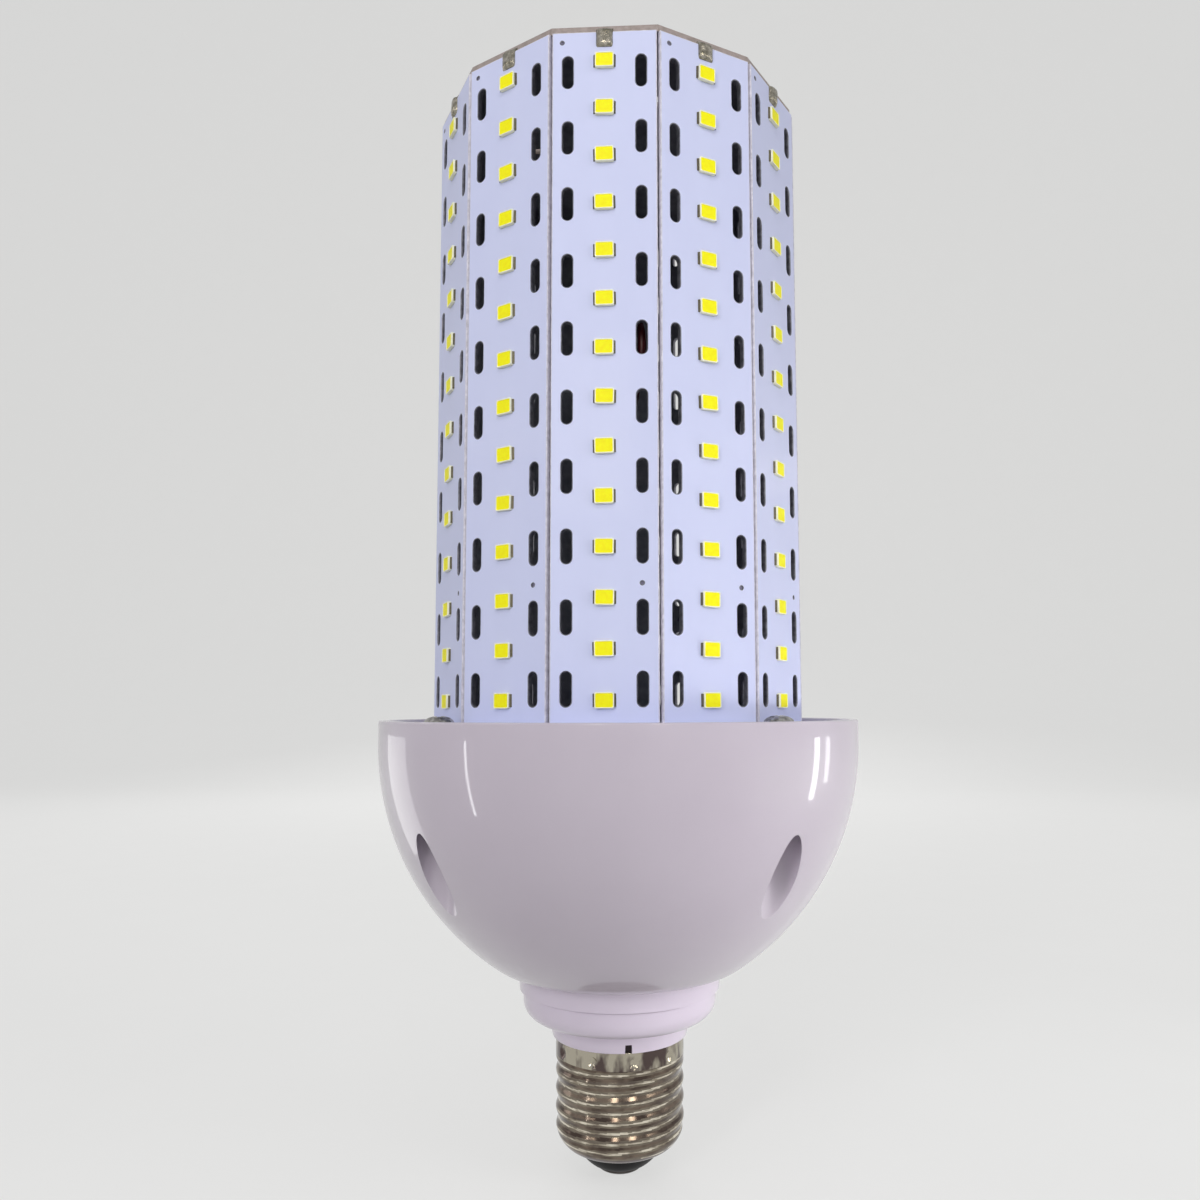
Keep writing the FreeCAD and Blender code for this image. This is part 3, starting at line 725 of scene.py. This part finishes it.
def strip_chips_mesh(chip):
    """The chips of strip 1, each a little off true as reflowed chips are."""
    upright = Matrix.Rotation(math.radians(90), 4, "X")
    copies = []
    for k in range(CHIPS_PER_STRIP):
        skew = Matrix.Rotation(math.radians(random.uniform(-CHIP_SKEW, CHIP_SKEW)), 4, "Z")
        shift_x = random.uniform(-CHIP_SHIFT, CHIP_SHIFT) * MM
        place = (shift_x, -STRIP_FRONT, CHIP_FIRST_Z + k * CHIP_PITCH)
        copy = chip.copy()
        copy.transform(Matrix.Translation(place) @ upright @ skew)
        copies.append(copy)
    return joined("strip_chips", copies)


def solder_mesh(seed):
    """A joint at a strip's head: a domed bead over the board's face and the plate's edge."""
    rng = random.Random(seed)
    width = SOLDER_HALF_WIDTH * rng.uniform(0.95, 1.0)
    low = STRIP_TOP_Z - SOLDER_DROP * rng.uniform(0.95, 1.02)
    high = STRIP_TOP_Z + SOLDER_RISE
    front = -STRIP_FRONT
    ledge = -STRIP_FRONT + TOP_INSET
    dome = SOLDER_DOME * rng.uniform(0.8, 1.0)
    lean = rng.uniform(-0.25, 0.25)
    columns = 16
    rows = 22
    vertices = []
    for i in range(rows + 1):
        v = i / rows
        z = low + (high - low) * v
        lip = max(0.0, min(1.0, (z - STRIP_TOP_Z) / (0.25 * MM)))
        base = front + (ledge - front) * lip
        waist = 1.0 - 0.04 * math.sin(math.pi * v)
        foot = math.sqrt(max(0.0, 1 - (1 - min(1.0, v / 0.28)) ** 2))
        crest = math.sqrt(max(0.0, 1 - (max(0.0, v - 0.62) / 0.38) ** 2.6))
        for j in range(columns + 1):
            u = -1 + 2 * j / columns
            side = (1 - abs(u) ** 2.6) ** 0.6
            height = dome * foot * crest * side * (1 + lean * u)
            swell = 0.06 * MM * math.sin(5 * v + seed) * side
            x = u * width * waist * (0.80 + 0.20 * foot)
            y = min(base - height - swell * foot * crest, base + 0.02 * MM)
            vertices.append((x, max(y, front - SOLDER_REACH), z))
    faces = []
    row = columns + 1
    for i in range(rows):
        for j in range(columns):
            a = i * row + j
            faces.append((a, a + 1, a + row + 1, a + row))
    back = len(vertices)
    rim = [j for j in range(row)]
    rim += [i * row + columns for i in range(1, rows + 1)]
    rim += [rows * row + j for j in range(columns - 1, -1, -1)]
    rim += [i * row for i in range(rows - 1, 0, -1)]
    for index in rim:
        x, y, z = vertices[index]
        inner = front + 0.05 * MM if z < STRIP_TOP_Z else ledge + 0.05 * MM
        vertices.append((x, max(inner, y + 0.02 * MM), z))
    count = len(rim)
    for i in range(count):
        j = (i + 1) % count
        faces.append((rim[i], rim[j], back + j, back + i))
    faces.append(tuple(range(back, back + count)))
    mesh = mesh_from("joint", vertices, faces)
    mesh.materials.append(MATERIALS["solder"])
    smooth(mesh, 60.0)
    return mesh


def make_tower():
    """Strips, chips, solder and the top plate."""
    strip = strip_mesh()
    chip = chip_mesh()
    for k in range(STRIP_COUNT):
        number = "%02d" % (k + 1)
        piece = new_object("strip_" + number, spin_mesh(strip, k * STEP))
        finish_piece(piece, "board_white", "led_strip_" + number)
        chips = strip_chips_mesh(chip)
        chips.transform(Matrix.Rotation(k * STEP, 4, "Z"))
        piece = new_object("chips_" + number, chips)
        finish_piece(piece, "led_yellow", "led_chips_" + number)
    joints = [spin_mesh(solder_mesh(k + 3), k * STEP) for k in range(STRIP_COUNT)]
    finish_piece(new_object("solder_joints", joined("solder_joints", joints)), "solder", "top_solder")
    make_top(chip)


def make_top(chip):
    """The twelve-sided plate over the tower with its own chips."""
    apothem = STRIP_FRONT - TOP_INSET
    radius = apothem / math.cos(STEP / 2)
    outer = [(radius * math.sin((k + 0.5) * STEP), -radius * math.cos((k + 0.5) * STEP))
             for k in range(STRIP_COUNT)]
    loops = [outer, circle_loop(0.0, 0.0, TOP_HOLE_RADIUS, 32)]
    for k in range(STRIP_COUNT):
        turn = Matrix.Rotation(k * STEP, 2)
        loop = slot_loop(0.0, -TOP_VENT_CIRCLE, VENT_WIDTH, VENT_LENGTH)
        loops.append([tuple(turn @ Vector(p)) for p in loop])
    thickness = PLATE_TOP_Z - STRIP_TOP_Z
    mesh = sheet_mesh("plate", loops, thickness, PLATE_BEVEL)
    mesh.transform(Matrix.Translation((0, 0, (STRIP_TOP_Z + PLATE_TOP_Z) / 2)))
    for name in ("mask", "plate_edge", "board_back"):
        mesh.materials.append(MATERIALS[name])
    for face in mesh.polygons:
        if face.normal.z > 0.5:
            face.material_index = 0
        elif face.normal.z < -0.9:
            face.material_index = 2
        else:
            face.material_index = 1
    smooth(mesh, 25.0)
    flatten(mesh, 2)
    finish_piece(new_object("plate_over_tower", mesh), "board_white", "top_plate")
    copies = []
    for count, ring in TOP_CHIP_CIRCLES:
        for k in range(count):
            turn = Matrix.Rotation(2 * math.pi * k / count, 4, "Z")
            copy = chip.copy()
            copy.transform(turn @ Matrix.Translation((0, -ring, PLATE_TOP_Z)))
            copies.append(copy)
    finish_piece(new_object("plate_chips", joined("plate_chips", copies)), "led_yellow", "top_chips")


# Cup and neck

def bowl(inset, steps):
    """Points of the bowl's two tangent arcs, rim to neck, moved inwards."""
    width = CUP_RADIUS - COLLAR_TOP_RADIUS
    height = RIM_Z - CUP_STRAIGHT - CUP_LOW_Z
    reach = width ** 2 + height ** 2 - 2 * height * CUP_LOW_ROUND
    upper_radius = reach / (2 * (width - CUP_LOW_ROUND))
    upper = (CUP_RADIUS - upper_radius, RIM_Z - CUP_STRAIGHT)
    lower = (COLLAR_TOP_RADIUS, CUP_LOW_Z + CUP_LOW_ROUND)
    joint = math.degrees(math.atan2(lower[1] - upper[1], lower[0] - upper[0]))
    points = rounded(upper, upper_radius - inset, 0, joint, steps)
    return points + rounded(lower, CUP_LOW_ROUND - inset, joint, -90, steps // 4)[1:]


def cup_profile():
    """The cup's outline from the rim's inside, over the rim and down to the collar, then back up."""
    base_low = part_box("base_plate")[0].z
    recess = CUP_RADIUS - RIM_WALL
    points = rounded((recess + RIM_ROUND, RIM_Z - RIM_ROUND), RIM_ROUND, 180, 90, 6)
    points += rounded((CUP_RADIUS - RIM_ROUND, RIM_Z - RIM_ROUND), RIM_ROUND, 90, 0, 6)
    points += bowl(0.0, 60)
    for k in range(1, 7):
        t = k / 6
        points.append((COLLAR_TOP_RADIUS + (COLLAR_TOP_LOW_RADIUS - COLLAR_TOP_RADIUS) * t,
                       CUP_LOW_Z - COLLAR_TOP_HEIGHT * t))
    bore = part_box("cap_neck")[1].x - CUP_BORE_STEP
    points += [(bore, COLLAR_TOP_Z), (bore, CUP_LOW_Z + CUP_WALL)]
    points += bowl(CUP_WALL, 30)[::-1]
    return points + [(CUP_RADIUS - CUP_WALL, base_low), (recess, base_low)]


def make_cup():
    """The glossy cup with its four boss pockets."""
    cup = new_object("cup", turned_mesh("cup", cup_profile()), "cup", "neck")
    base_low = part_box("base_plate")[0].z
    bosses = []
    pockets = []
    for k in range(SCREW_COUNT):
        angle = SCREW_FIRST_ANGLE + 2 * math.pi * k / SCREW_COUNT
        x = SCREW_CIRCLE * math.sin(angle)
        y = -SCREW_CIRCLE * math.cos(angle)
        bosses.append(rod_mesh(POCKET_RADIUS + BOSS_WALL, CUP_LOW_Z + BOSS_FOOT, base_low - 0.05 * MM, x, y))
        pockets.append(rod_mesh(POCKET_RADIUS, COLLAR_TOP_Z, base_low - POCKET_DEPTH, x, y, 72))
    trim = turned_mesh("trim", full_bowl(), 96)
    for boss in bosses:
        add_boss(cup, boss, trim)
    cut_away(cup, pockets)
    # The collar below the bowl takes the lighter painted copy of the same plastic
    for face in cup.data.polygons:
        face.material_index = 1 if face.center.z < CUP_LOW_Z - 0.05 * MM else 0
    smooth(cup.data, 30.0)
    finish_piece(cup, "white_plastic", "driver_housing")


def full_bowl():
    """A solid outline that fills the bowl to a little inside its outer face."""
    inset = 1.0 * MM
    axis = 0.0001 * MM
    return [(axis, RIM_Z), (CUP_RADIUS - inset, RIM_Z)] + bowl(inset, 40) + [(axis, CUP_LOW_Z + inset)]


def add_boss(cup, boss, trim):
    """Join a screw boss, trimmed to the bowl, to the cup."""
    helper = placed("boss", boss)
    limit = placed("limit", trim)
    add_boolean(helper, limit, "INTERSECT")
    add_boolean(cup, helper, "UNION")
    cup.data = evaluated_mesh(cup)
    cup.modifiers.clear()
    for item in (helper, limit):
        bpy.data.objects.remove(item)


def neck_profile():
    """The neck's outline: spigot, lower collar, rounded middle collar and lip."""
    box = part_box("cap_neck")
    mid_radius = box[1].x
    mid_z = CAP_TOP_Z + NECK_LOW_HEIGHT
    seam_z = COLLAR_TOP_Z - COLLAR_SEAM
    ease = NECK_EASE
    spigot = CAP_RADIUS - SPIGOT_INSET
    points = [(spigot, box[0].z), (spigot, CAP_TOP_Z)]
    points += rounded((NECK_LOW_RADIUS - ease, CAP_TOP_Z + ease), ease, -90, 0, 5)
    points += [(NECK_LOW_RADIUS + NECK_LOW_FLARE / 2, (CAP_TOP_Z + mid_z) / 2),
               (NECK_LOW_RADIUS + NECK_LOW_FLARE, mid_z)]
    points += rounded((mid_radius - NECK_MID_ROUND, mid_z + NECK_MID_ROUND), NECK_MID_ROUND, -90, 0, 18)
    points += rounded((mid_radius - ease, seam_z - ease), ease, 0, 90, 5)
    return points + [(LIP_RADIUS, seam_z), (LIP_RADIUS, box[1].z), (LIP_RADIUS - LIP_WALL, box[1].z),
                     (NECK_BORE, mid_z), (NECK_BORE, box[0].z)]


def make_neck():
    """The stepped neck with the wire notch over the cap's edge."""
    neck = new_object("neck", turned_mesh("neck", neck_profile()), "neck", "notch")
    notch = made_mesh("notch", bmesh.ops.create_cube, size=1.0)
    depth = 2 * (NOTCH_FRONT + 0.75 * MM - NOTCH_BACK)
    notch.transform(Matrix.Diagonal((NOTCH_WIDTH, depth, 2 * NOTCH_HEIGHT, 1.0)))
    notch.transform(Matrix.Translation((0, -NOTCH_BACK - depth / 2, CAP_TOP_Z)))
    notch.transform(Matrix.Rotation(NOTCH_ANGLE, 4, "Z"))
    cut_away(neck, [notch])
    shade_notch(neck.data)
    smooth(neck.data, 30.0)
    finish_piece(neck, "white_plastic", "cap_neck")


def shade_notch(mesh):
    """The notch's inner walls, painted dark as shade."""
    level = Matrix.Rotation(-NOTCH_ANGLE, 3, "Z")
    near = 0.01 * MM
    for face in mesh.polygons:
        place = level @ face.center
        if (abs(place.x) < NOTCH_WIDTH / 2 + near and -NOTCH_FRONT < place.y < -NOTCH_BACK + near
                and CAP_TOP_Z + near < place.z < CAP_TOP_Z + NOTCH_HEIGHT + near):
            face.material_index = 1


# Cap

def fade(value, low, high, width):
    """1 between two levels and 0 outside, with soft ends."""
    up = max(0.0, min(1.0, (value - low) / width))
    down = max(0.0, min(1.0, (high - value) / width))
    return (3 * up * up - 2 * up ** 3) * (3 * down * down - 2 * down ** 3)


def cap_radius_at(turn, z):
    """The sleeve's outer radius: a rolled right-hand thread and a ring of crimp dimples."""
    phase = 2 * math.pi * z / THREAD_PITCH - turn
    groove = 0.5 - 0.5 * math.cos(phase)
    radius = CAP_RADIUS - THREAD_DEPTH * groove * fade(z, THREAD_LOW, THREAD_HIGH, THREAD_FADE)
    if abs(z - DIMPLE_LEVEL) < 2 * DIMPLE_RADIUS:
        spacing = 2 * math.pi / DIMPLE_COUNT
        offset = (turn - DIMPLE_PHASE + spacing / 2) % spacing - spacing / 2
        away = math.hypot(offset * CAP_RADIUS, z - DIMPLE_LEVEL) / DIMPLE_RADIUS
        radius -= DIMPLE_DEPTH * max(0.0, 1 - away ** 2) ** 1.2
    return radius


def cap_finish_at(place):
    """Which of the cap's finishes a face has: the band, the foot's painted dark reflection, and on the
    thread painted highlight lines at the crests and roots and painted dark bands on the flanks.
    """
    if place.z > THREAD_HIGH + 0.6 * MM:
        return 1
    # The foot below the thread takes the painted dark reflection
    if place.z < CAP_FOOT_TOP:
        return 2
    turn = math.atan2(place.y, place.x)
    rise = abs(math.cos(2 * math.pi * place.z / THREAD_PITCH - turn)) + 0.03 * math.sin(11 * turn)
    return 3 if rise > CAP_HIGHLIGHT_RISE else 4 if rise < CAP_DARK_RISE else 0


def foot_taper(z):
    """How far the cap's foot draws in under its thread."""
    t = max(0.0, min(1.0, (FOOT_TAPER_TOP - z) / (FOOT_TAPER_TOP - SHOULDER_Z)))
    return FOOT_TAPER * t * t * (3 - 2 * t)


def make_cap():
    """The nickel-plated cap, with its finishes by height and its painted highlights and painted dark bands
    by their place on the thread.
    """
    shoulder_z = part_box("screw_cap")[0].z
    rows = []
    for k in range(SHOULDER_STEPS + 1):
        turn = math.radians(90 * k / SHOULDER_STEPS)
        rows.append((SHOULDER_RADIUS + (CAP_RADIUS - SHOULDER_RADIUS) * math.sin(turn),
                     shoulder_z + (THREAD_LOW - shoulder_z) * (1 - math.cos(turn)), 0.0))
    levels = []
    z = THREAD_LOW + CAP_ROW
    while z < CAP_TOP_Z - CAP_ROW:
        levels.append(z)
        z += CAP_ROW
    rows += [(None, z, 0.0) for z in levels]
    rows += [(CAP_RADIUS, CAP_TOP_Z - CAP_EDGE, 0.0), (CAP_RADIUS - CAP_EDGE, CAP_TOP_Z, 0.0),
             (CAP_RADIUS - CAP_WALL, CAP_TOP_Z, 0.0)]
    rows += [(None, z, CAP_WALL) for z in levels[::-4]]
    rows += [(CAP_RADIUS - CAP_WALL, THREAD_LOW, 0.0),
             (SHOULDER_RADIUS - CAP_WALL / 2, shoulder_z + CAP_WALL, 0.0)]
    vertices = []
    for radius, z, inset in rows:
        for k in range(CAP_COLUMNS):
            turn = 2 * math.pi * k / CAP_COLUMNS
            reach = (cap_radius_at(turn, z) - inset if radius is None else radius) - foot_taper(z)
            vertices.append((reach * math.cos(turn), reach * math.sin(turn), z))
    mesh = mesh_from("cap", vertices, ring_faces(len(rows), CAP_COLUMNS))
    smooth(mesh, 50.0)
    for face in mesh.polygons:
        face.material_index = cap_finish_at(face.center)
    cap = new_object("cap_sleeve", mesh, "nickel", "cap_band_painted_reflection", "cap_foot_painted_dark", "cap_painted_highlight", "cap_painted_dark")
    finish_piece(cap, "cap_metal", "screw_cap")


def make_tip():
    """The insulating cone and the contact button, turned smooth."""
    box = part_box("cap_insulator")
    edge = box[1].x
    shoulder_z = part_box("screw_cap")[0].z
    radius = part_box("centre_contact")[1].x
    height = CONTACT_HEIGHT
    stem = CONTACT_STEM_RADIUS
    profile = [(radius, height), (radius + 0.5 * MM, height + 0.03 * MM)]
    profile += bezier((radius + 0.9 * MM, height + 0.1 * MM), (radius + 2.6 * MM, height + 0.6 * MM),
                      (edge - 0.8 * MM, shoulder_z - 0.9 * MM), (edge, shoulder_z), 14)
    profile += [(edge, shoulder_z), (edge, box[1].z), (edge - INSULATOR_WALL, box[1].z),
                (stem + 0.1 * MM, height + 1.4 * MM), (stem + 0.1 * MM, height)]
    profile = [(r - FOOT_TAPER * max(0.0, (r - radius) / (edge - radius)), z) for r, z in profile]
    mesh = turned_mesh("insulator", profile, 128)
    smooth(mesh, 35.0)
    finish_piece(new_object("insulator", mesh, "insulator"), "insulator", "cap_insulator")
    profile = [(0.0, 0.0), (1.9 * MM, 0.01 * MM), (2.9 * MM, 0.12 * MM)]
    profile += bezier((3.2 * MM, 0.2 * MM), (4.0 * MM, 0.45 * MM), (radius, 0.8 * MM), (radius, 1.1 * MM), 8)
    profile += [(radius, height), (stem, height), (stem, height + 2 * MM), (0.0, height + 2 * MM)]
    mesh = turned_mesh("contact", profile, 96)
    smooth(mesh, 35.0)
    finish_piece(new_object("contact", mesh, "contact"), "contact", "centre_contact")


# Screws, leads and hidden pieces

def make_screws():
    """Four pan-head screws with a cross recess."""
    radius = SCREW_HEAD_RADIUS
    shank = SCREW_SHANK_RADIUS
    height = SCREW_HEAD_HEIGHT
    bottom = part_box("plate_screws")[0].z
    profile = [(0.0, bottom), (shank, bottom), (shank, BASE_TOP_Z), (radius, BASE_TOP_Z)]
    profile += bezier((radius, BASE_TOP_Z + 0.5 * MM), (radius - 0.05 * MM, BASE_TOP_Z + height * 0.8),
                      (radius * 0.62, BASE_TOP_Z + height), (0.0, BASE_TOP_Z + height), 16)
    profile.append((0.0, BASE_TOP_Z + height))
    holder = new_object("screw", turned_mesh("screw", profile, 64), "screw")
    for angle in CROSS_ANGLES:
        bar = made_mesh("bar", bmesh.ops.create_cone, cap_ends=True, segments=4, radius1=0.3 * MM,
                        radius2=1.0 * MM, depth=1.6 * MM)
        bar.transform(Matrix.Rotation(math.pi / 4, 4, "Z"))
        bar.transform(Matrix.Diagonal((2.1, 0.62, 1.0, 1.0)))
        bar.transform(Matrix.Rotation(angle, 4, "Z"))
        bar.transform(Matrix.Translation((0, 0, BASE_TOP_Z + height - 0.7 * MM)))
        cut_away(holder, [bar])
    screw = holder.data
    copies = []
    for k in range(SCREW_COUNT):
        angle = SCREW_FIRST_ANGLE + 2 * math.pi * k / SCREW_COUNT
        copy = screw.copy()
        copy.transform(Matrix.Rotation(random.uniform(0, math.pi), 4, "Z"))
        place = (SCREW_CIRCLE * math.sin(angle), -SCREW_CIRCLE * math.cos(angle), 0)
        copy.transform(Matrix.Translation(place))
        copies.append(copy)
    bpy.data.objects.remove(holder)
    mesh = joined("screws", copies)
    smooth(mesh, 35.0)
    finish_piece(new_object("screws", mesh, "screw"), "screw_steel", "plate_screws")


def make_lead(name, points, material, slot, node):
    """A round lead along its route's points, in millimetres."""
    curve = bpy.data.curves.new(name, "CURVE")
    curve.dimensions = "3D"
    curve.bevel_depth = LEAD_RADIUS
    curve.bevel_resolution = 3
    curve.use_fill_caps = True
    curve.resolution_u = 8
    spline = curve.splines.new("NURBS")
    spline.points.add(len(points) - 1)
    for point, place in zip(spline.points, points):
        point.co = (place[0] * MM, place[1] * MM, place[2] * MM, 1.0)
    spline.order_u = 3
    spline.use_endpoint_u = True
    finish_piece(new_object(name, curve, material), slot, node)


def make_leads():
    """The two leads from the driver up through the tower, along their routes' points in millimetres."""
    red = [
        (5.0, 13.0, 57.6), (5.0, 13.0, 69.64), (1.75, 1.4, 87.7), (1.81, -7.90, 110.93),
        (2.61, -15.08, 130.02), (3.62, -25.85, 146.56), (7.50, -36.26, 158.78), (3.62, -25.85, 171.12),
        (2.61, -15.08, 188.56), (2.48, -7.18, 203.83), (2.48, -7.18, 216.55),
    ]
    black = [
        (1.5, 13.0, 57.6), (1.5, 13.0, 69.64), (-1.75, 1.4, 87.7), (-2.01, -7.18, 110.93),
        (-2.81, -10.05, 137.66), (-2.81, -10.77, 163.11), (-2.68, -9.69, 187.28),
        (-2.48, -7.18, 203.83), (-2.48, -7.18, 216.55),
    ]
    for points, colour in ((red, "red"), (black, "black")):
        make_lead("lead_" + colour, points, colour + "_lead", colour + "_insulation", "lead_wire_" + colour)


def dress_nodes():
    """Better finishes for the solids that stay as they are."""
    finishes = {
        "base_plate": "mask", "tab_solder": "solder", "driver_board": "green_board",
        "driver_screws": "screw", "transformer_core": "ferrite", "transformer_coil": "tape",
        "input_capacitor": "can", "output_capacitor": "can", "film_capacitor": "film",
        "filter_choke": "copper", "bridge_rectifier": "black_body", "fuse_resistor": "resistor",
        "controller_chip": "black_body", "contact_wire": "black_lead", "shell_wire": "black_lead",
    }
    for node, finish in finishes.items():
        for entry in NODES[node].material_slots:
            entry.material = MATERIALS[finish]


# Stage, light and camera

def shown_rays(owner):
    """1 for the rays that show a background: the camera's own, glossy and transmitted ones."""
    path = add_node(owner, "ShaderNodeLightPath")
    shown = path.outputs["Is Camera Ray"]
    for kind in ("Is Glossy Ray", "Is Transmission Ray"):
        either = add_node(owner, "ShaderNodeMath", operation="MAXIMUM")
        link(owner, shown, either.inputs[0])
        link(owner, path.outputs[kind], either.inputs[1])
        shown = either.outputs["Value"]
    return shown


def paper():
    """Pale paper: a soft grey to the object, brighter to the camera and in reflections."""
    material = surface("stage_paper", (0.56, 0.56, 0.555), (0.54, 0.54, 0.535), 0.7, scale=30.0,
                       relief=0.05, specular=0.2)
    nodes = material.node_tree.nodes
    share = add_node(material, "ShaderNodeMath", operation="MULTIPLY")
    share.inputs[1].default_value = PAPER_GLOW_SHARE
    link(material, shown_rays(material), share.inputs[0])
    glow = add_node(material, "ShaderNodeEmission")
    glow.inputs["Color"].default_value = (*PAPER_GLOW, 1.0)
    glow.inputs["Strength"].default_value = 1.0
    mix = add_node(material, "ShaderNodeMixShader")
    link(material, share.outputs["Value"], mix.inputs[0])
    link(material, nodes["Principled BSDF"].outputs["BSDF"], mix.inputs[1])
    link(material, glow.outputs["Emission"], mix.inputs[2])
    link(material, mix.outputs["Shader"], nodes["Material Output"].inputs["Surface"])
    return material


def make_stage():
    """A pale floor that curves up into a backdrop."""
    foot = STAGE_BACK - STAGE_BEND
    profile = [(STAGE_FRONT, 0.0), (foot, 0.0)]
    for k in range(1, STAGE_STEPS + 1):
        turn = math.radians(90 * k / STAGE_STEPS)
        profile.append((foot + STAGE_BEND * math.sin(turn), STAGE_BEND * (1 - math.cos(turn))))
    profile.append((STAGE_BACK, STAGE_TOP))
    vertices = [(x, y, z) for y, z in profile for x in (-STAGE_HALF_WIDTH, STAGE_HALF_WIDTH)]
    faces = [(2 * i, 2 * i + 1, 2 * i + 3, 2 * i + 2) for i in range(len(profile) - 1)]
    mesh = mesh_from("stage", vertices, faces)
    for face in mesh.polygons:
        face.use_smooth = True
    stage = placed("stage", mesh)
    mesh.materials.append(paper())


def area_light(name, bearing, distance, height, size, power, level=LIGHT_MIDDLE):
    """A soft box that faces the lamp's axis, at a bearing from the camera's."""
    turn = math.radians(bearing + CAMERA_AZIMUTH)
    data = bpy.data.lights.new(name, "AREA")
    data.shape = "RECTANGLE"
    data.size = size[0]
    data.size_y = size[1]
    data.energy = power
    lamp = placed(name, data)
    place = Vector((distance * math.sin(turn), -distance * math.cos(turn), height))
    lamp.location = place
    aim = Vector((0.0, 0.0, level)) - place
    lamp.rotation_euler = aim.to_track_quat("-Z", "Y").to_euler()
    return lamp


def edge_light(name, bearing, width, low, power):
    """A narrow upright strip, up to the rim's height, that only shows as a reflection on the cup."""
    middle = (low + EDGE_TOP) / 2
    lamp = area_light(name, bearing, EDGE_DISTANCE, middle, (width, EDGE_TOP - low), power, middle)
    lamp.visible_diffuse = False
    lamp.visible_camera = False


def far_strip(name, bearing, width, height, power):
    """A warm strip across the studio that only shows as fine lines on the cap's thread."""
    lamp = area_light(name, bearing, STUDIO_REACH, FAR_STRIP_HEIGHT, (width, height), power)
    lamp.data.color = FAR_STRIP_COLOUR
    lamp.visible_diffuse = False
    lamp.visible_camera = False


def make_world():
    """A soft grey room that looks pale to the camera and in reflections."""
    world = bpy.data.worlds.new("studio")
    world.use_nodes = True
    background = world.node_tree.nodes["Background"]
    background.inputs["Color"].default_value = (0.98, 0.98, 1.0, 1.0)
    level = add_node(world, "ShaderNodeMath", operation="MULTIPLY_ADD")
    link(world, shown_rays(world), level.inputs[0])
    level.inputs[1].default_value = WORLD_SEEN - WORLD_LEVEL
    level.inputs[2].default_value = WORLD_LEVEL
    link(world, level.outputs["Value"], background.inputs["Strength"])
    bpy.context.scene.world = world


def make_lights():
    """Soft studio light: boxes in front, above, to the right and behind, and strips for reflections."""
    boxes = [
        area_light("key_left", -30, STUDIO_REACH, 0.40, (0.16, 0.45), 3.3),
        area_light("key_middle", -8, STUDIO_REACH, 0.40, (0.16, 0.45), 0.3),
        area_light("key_right", 15, STUDIO_REACH, 0.40, (0.16, 0.45), 0.5),
        area_light("front_top", -5, 0.38, 0.55, (0.25, 0.25), 0.72),
        area_light("fill", 62, 0.85, 0.42, (0.35, 0.4), 1.9),
        area_light("back_left", -164, STUDIO_REACH, 0.50, (0.4, 0.5), 2.2),
        area_light("back_right", 168, STUDIO_REACH, 0.50, (0.4, 0.5), 2.2),
        area_light("low_card", 80, 0.25, 0.03, (0.2, 0.04), 0.07, 55 * MM),
    ]
    boxes[-1].data.spread = math.radians(75)
    for box in boxes:
        box.visible_glossy = False
        box.visible_camera = False
    far_strip("far_left", -85, 1.5, 0.05, 1.0)
    far_strip("far_middle", -11, 0.14, 0.20, 0.9)
    far_strip("far_near_right", 20, 0.16, 0.20, 0.9)
    far_strip("far_right", 85, 1.5, 0.05, 1.3)
    edge_light("edge_left", -58, 2.6 * MM, 34 * MM, 0.0042)
    edge_light("edge_left_soft", -104, 44 * MM, 20 * MM, 0.012)
    edge_light("edge_right", 83, 8 * MM, 48 * MM, 0.0085)
    edge_light("edge_right_soft", 91, 8 * MM, 60 * MM, 0.0028)


def make_camera():
    """The camera at the photograph's viewpoint."""
    data = bpy.data.cameras.new("camera")
    data.sensor_fit = "HORIZONTAL"
    data.sensor_width = 36.0
    data.lens = 36.0 * CAMERA_FOCAL_PX / PHOTO_SIZE
    data.shift_x = 0.5 - CAMERA_CENTRE_PX[0] / PHOTO_SIZE
    data.shift_y = CAMERA_CENTRE_PX[1] / PHOTO_SIZE - 0.5
    data.clip_start = 0.01
    yaw, pitch, roll = (math.radians(angle) for angle in (CAMERA_YAW, CAMERA_PITCH, CAMERA_ROLL))
    right = Vector((math.cos(yaw), -math.sin(yaw), 0.0))
    level = Vector((math.sin(yaw), math.cos(yaw), 0.0))
    forward = level * math.cos(pitch) + Vector((0, 0, math.sin(pitch)))
    up = Vector((0, 0, math.cos(pitch))) - level * math.sin(pitch)
    axis_x = right * math.cos(roll) - up * math.sin(roll)
    axis_y = right * math.sin(roll) + up * math.cos(roll)
    turn = Matrix.Rotation(math.radians(CAMERA_AZIMUTH), 3, "Z")
    axes = Matrix((turn @ axis_x, turn @ axis_y, turn @ -forward)).transposed()
    camera = placed("camera", data)
    place = turn @ Vector((0, -CAMERA_DISTANCE, 0)) + Vector((0, 0, RIM_Z + CAMERA_ABOVE_RIM))
    camera.matrix_world = Matrix.Translation(place) @ axes.to_4x4()
    bpy.context.scene.camera = camera


make_tower()
make_cup()
make_neck()
make_cap()
make_tip()
make_screws()
make_leads()
dress_nodes()
make_stage()
make_lights()
make_world()
make_camera()
bpy.context.scene.view_settings.view_transform = "Standard"
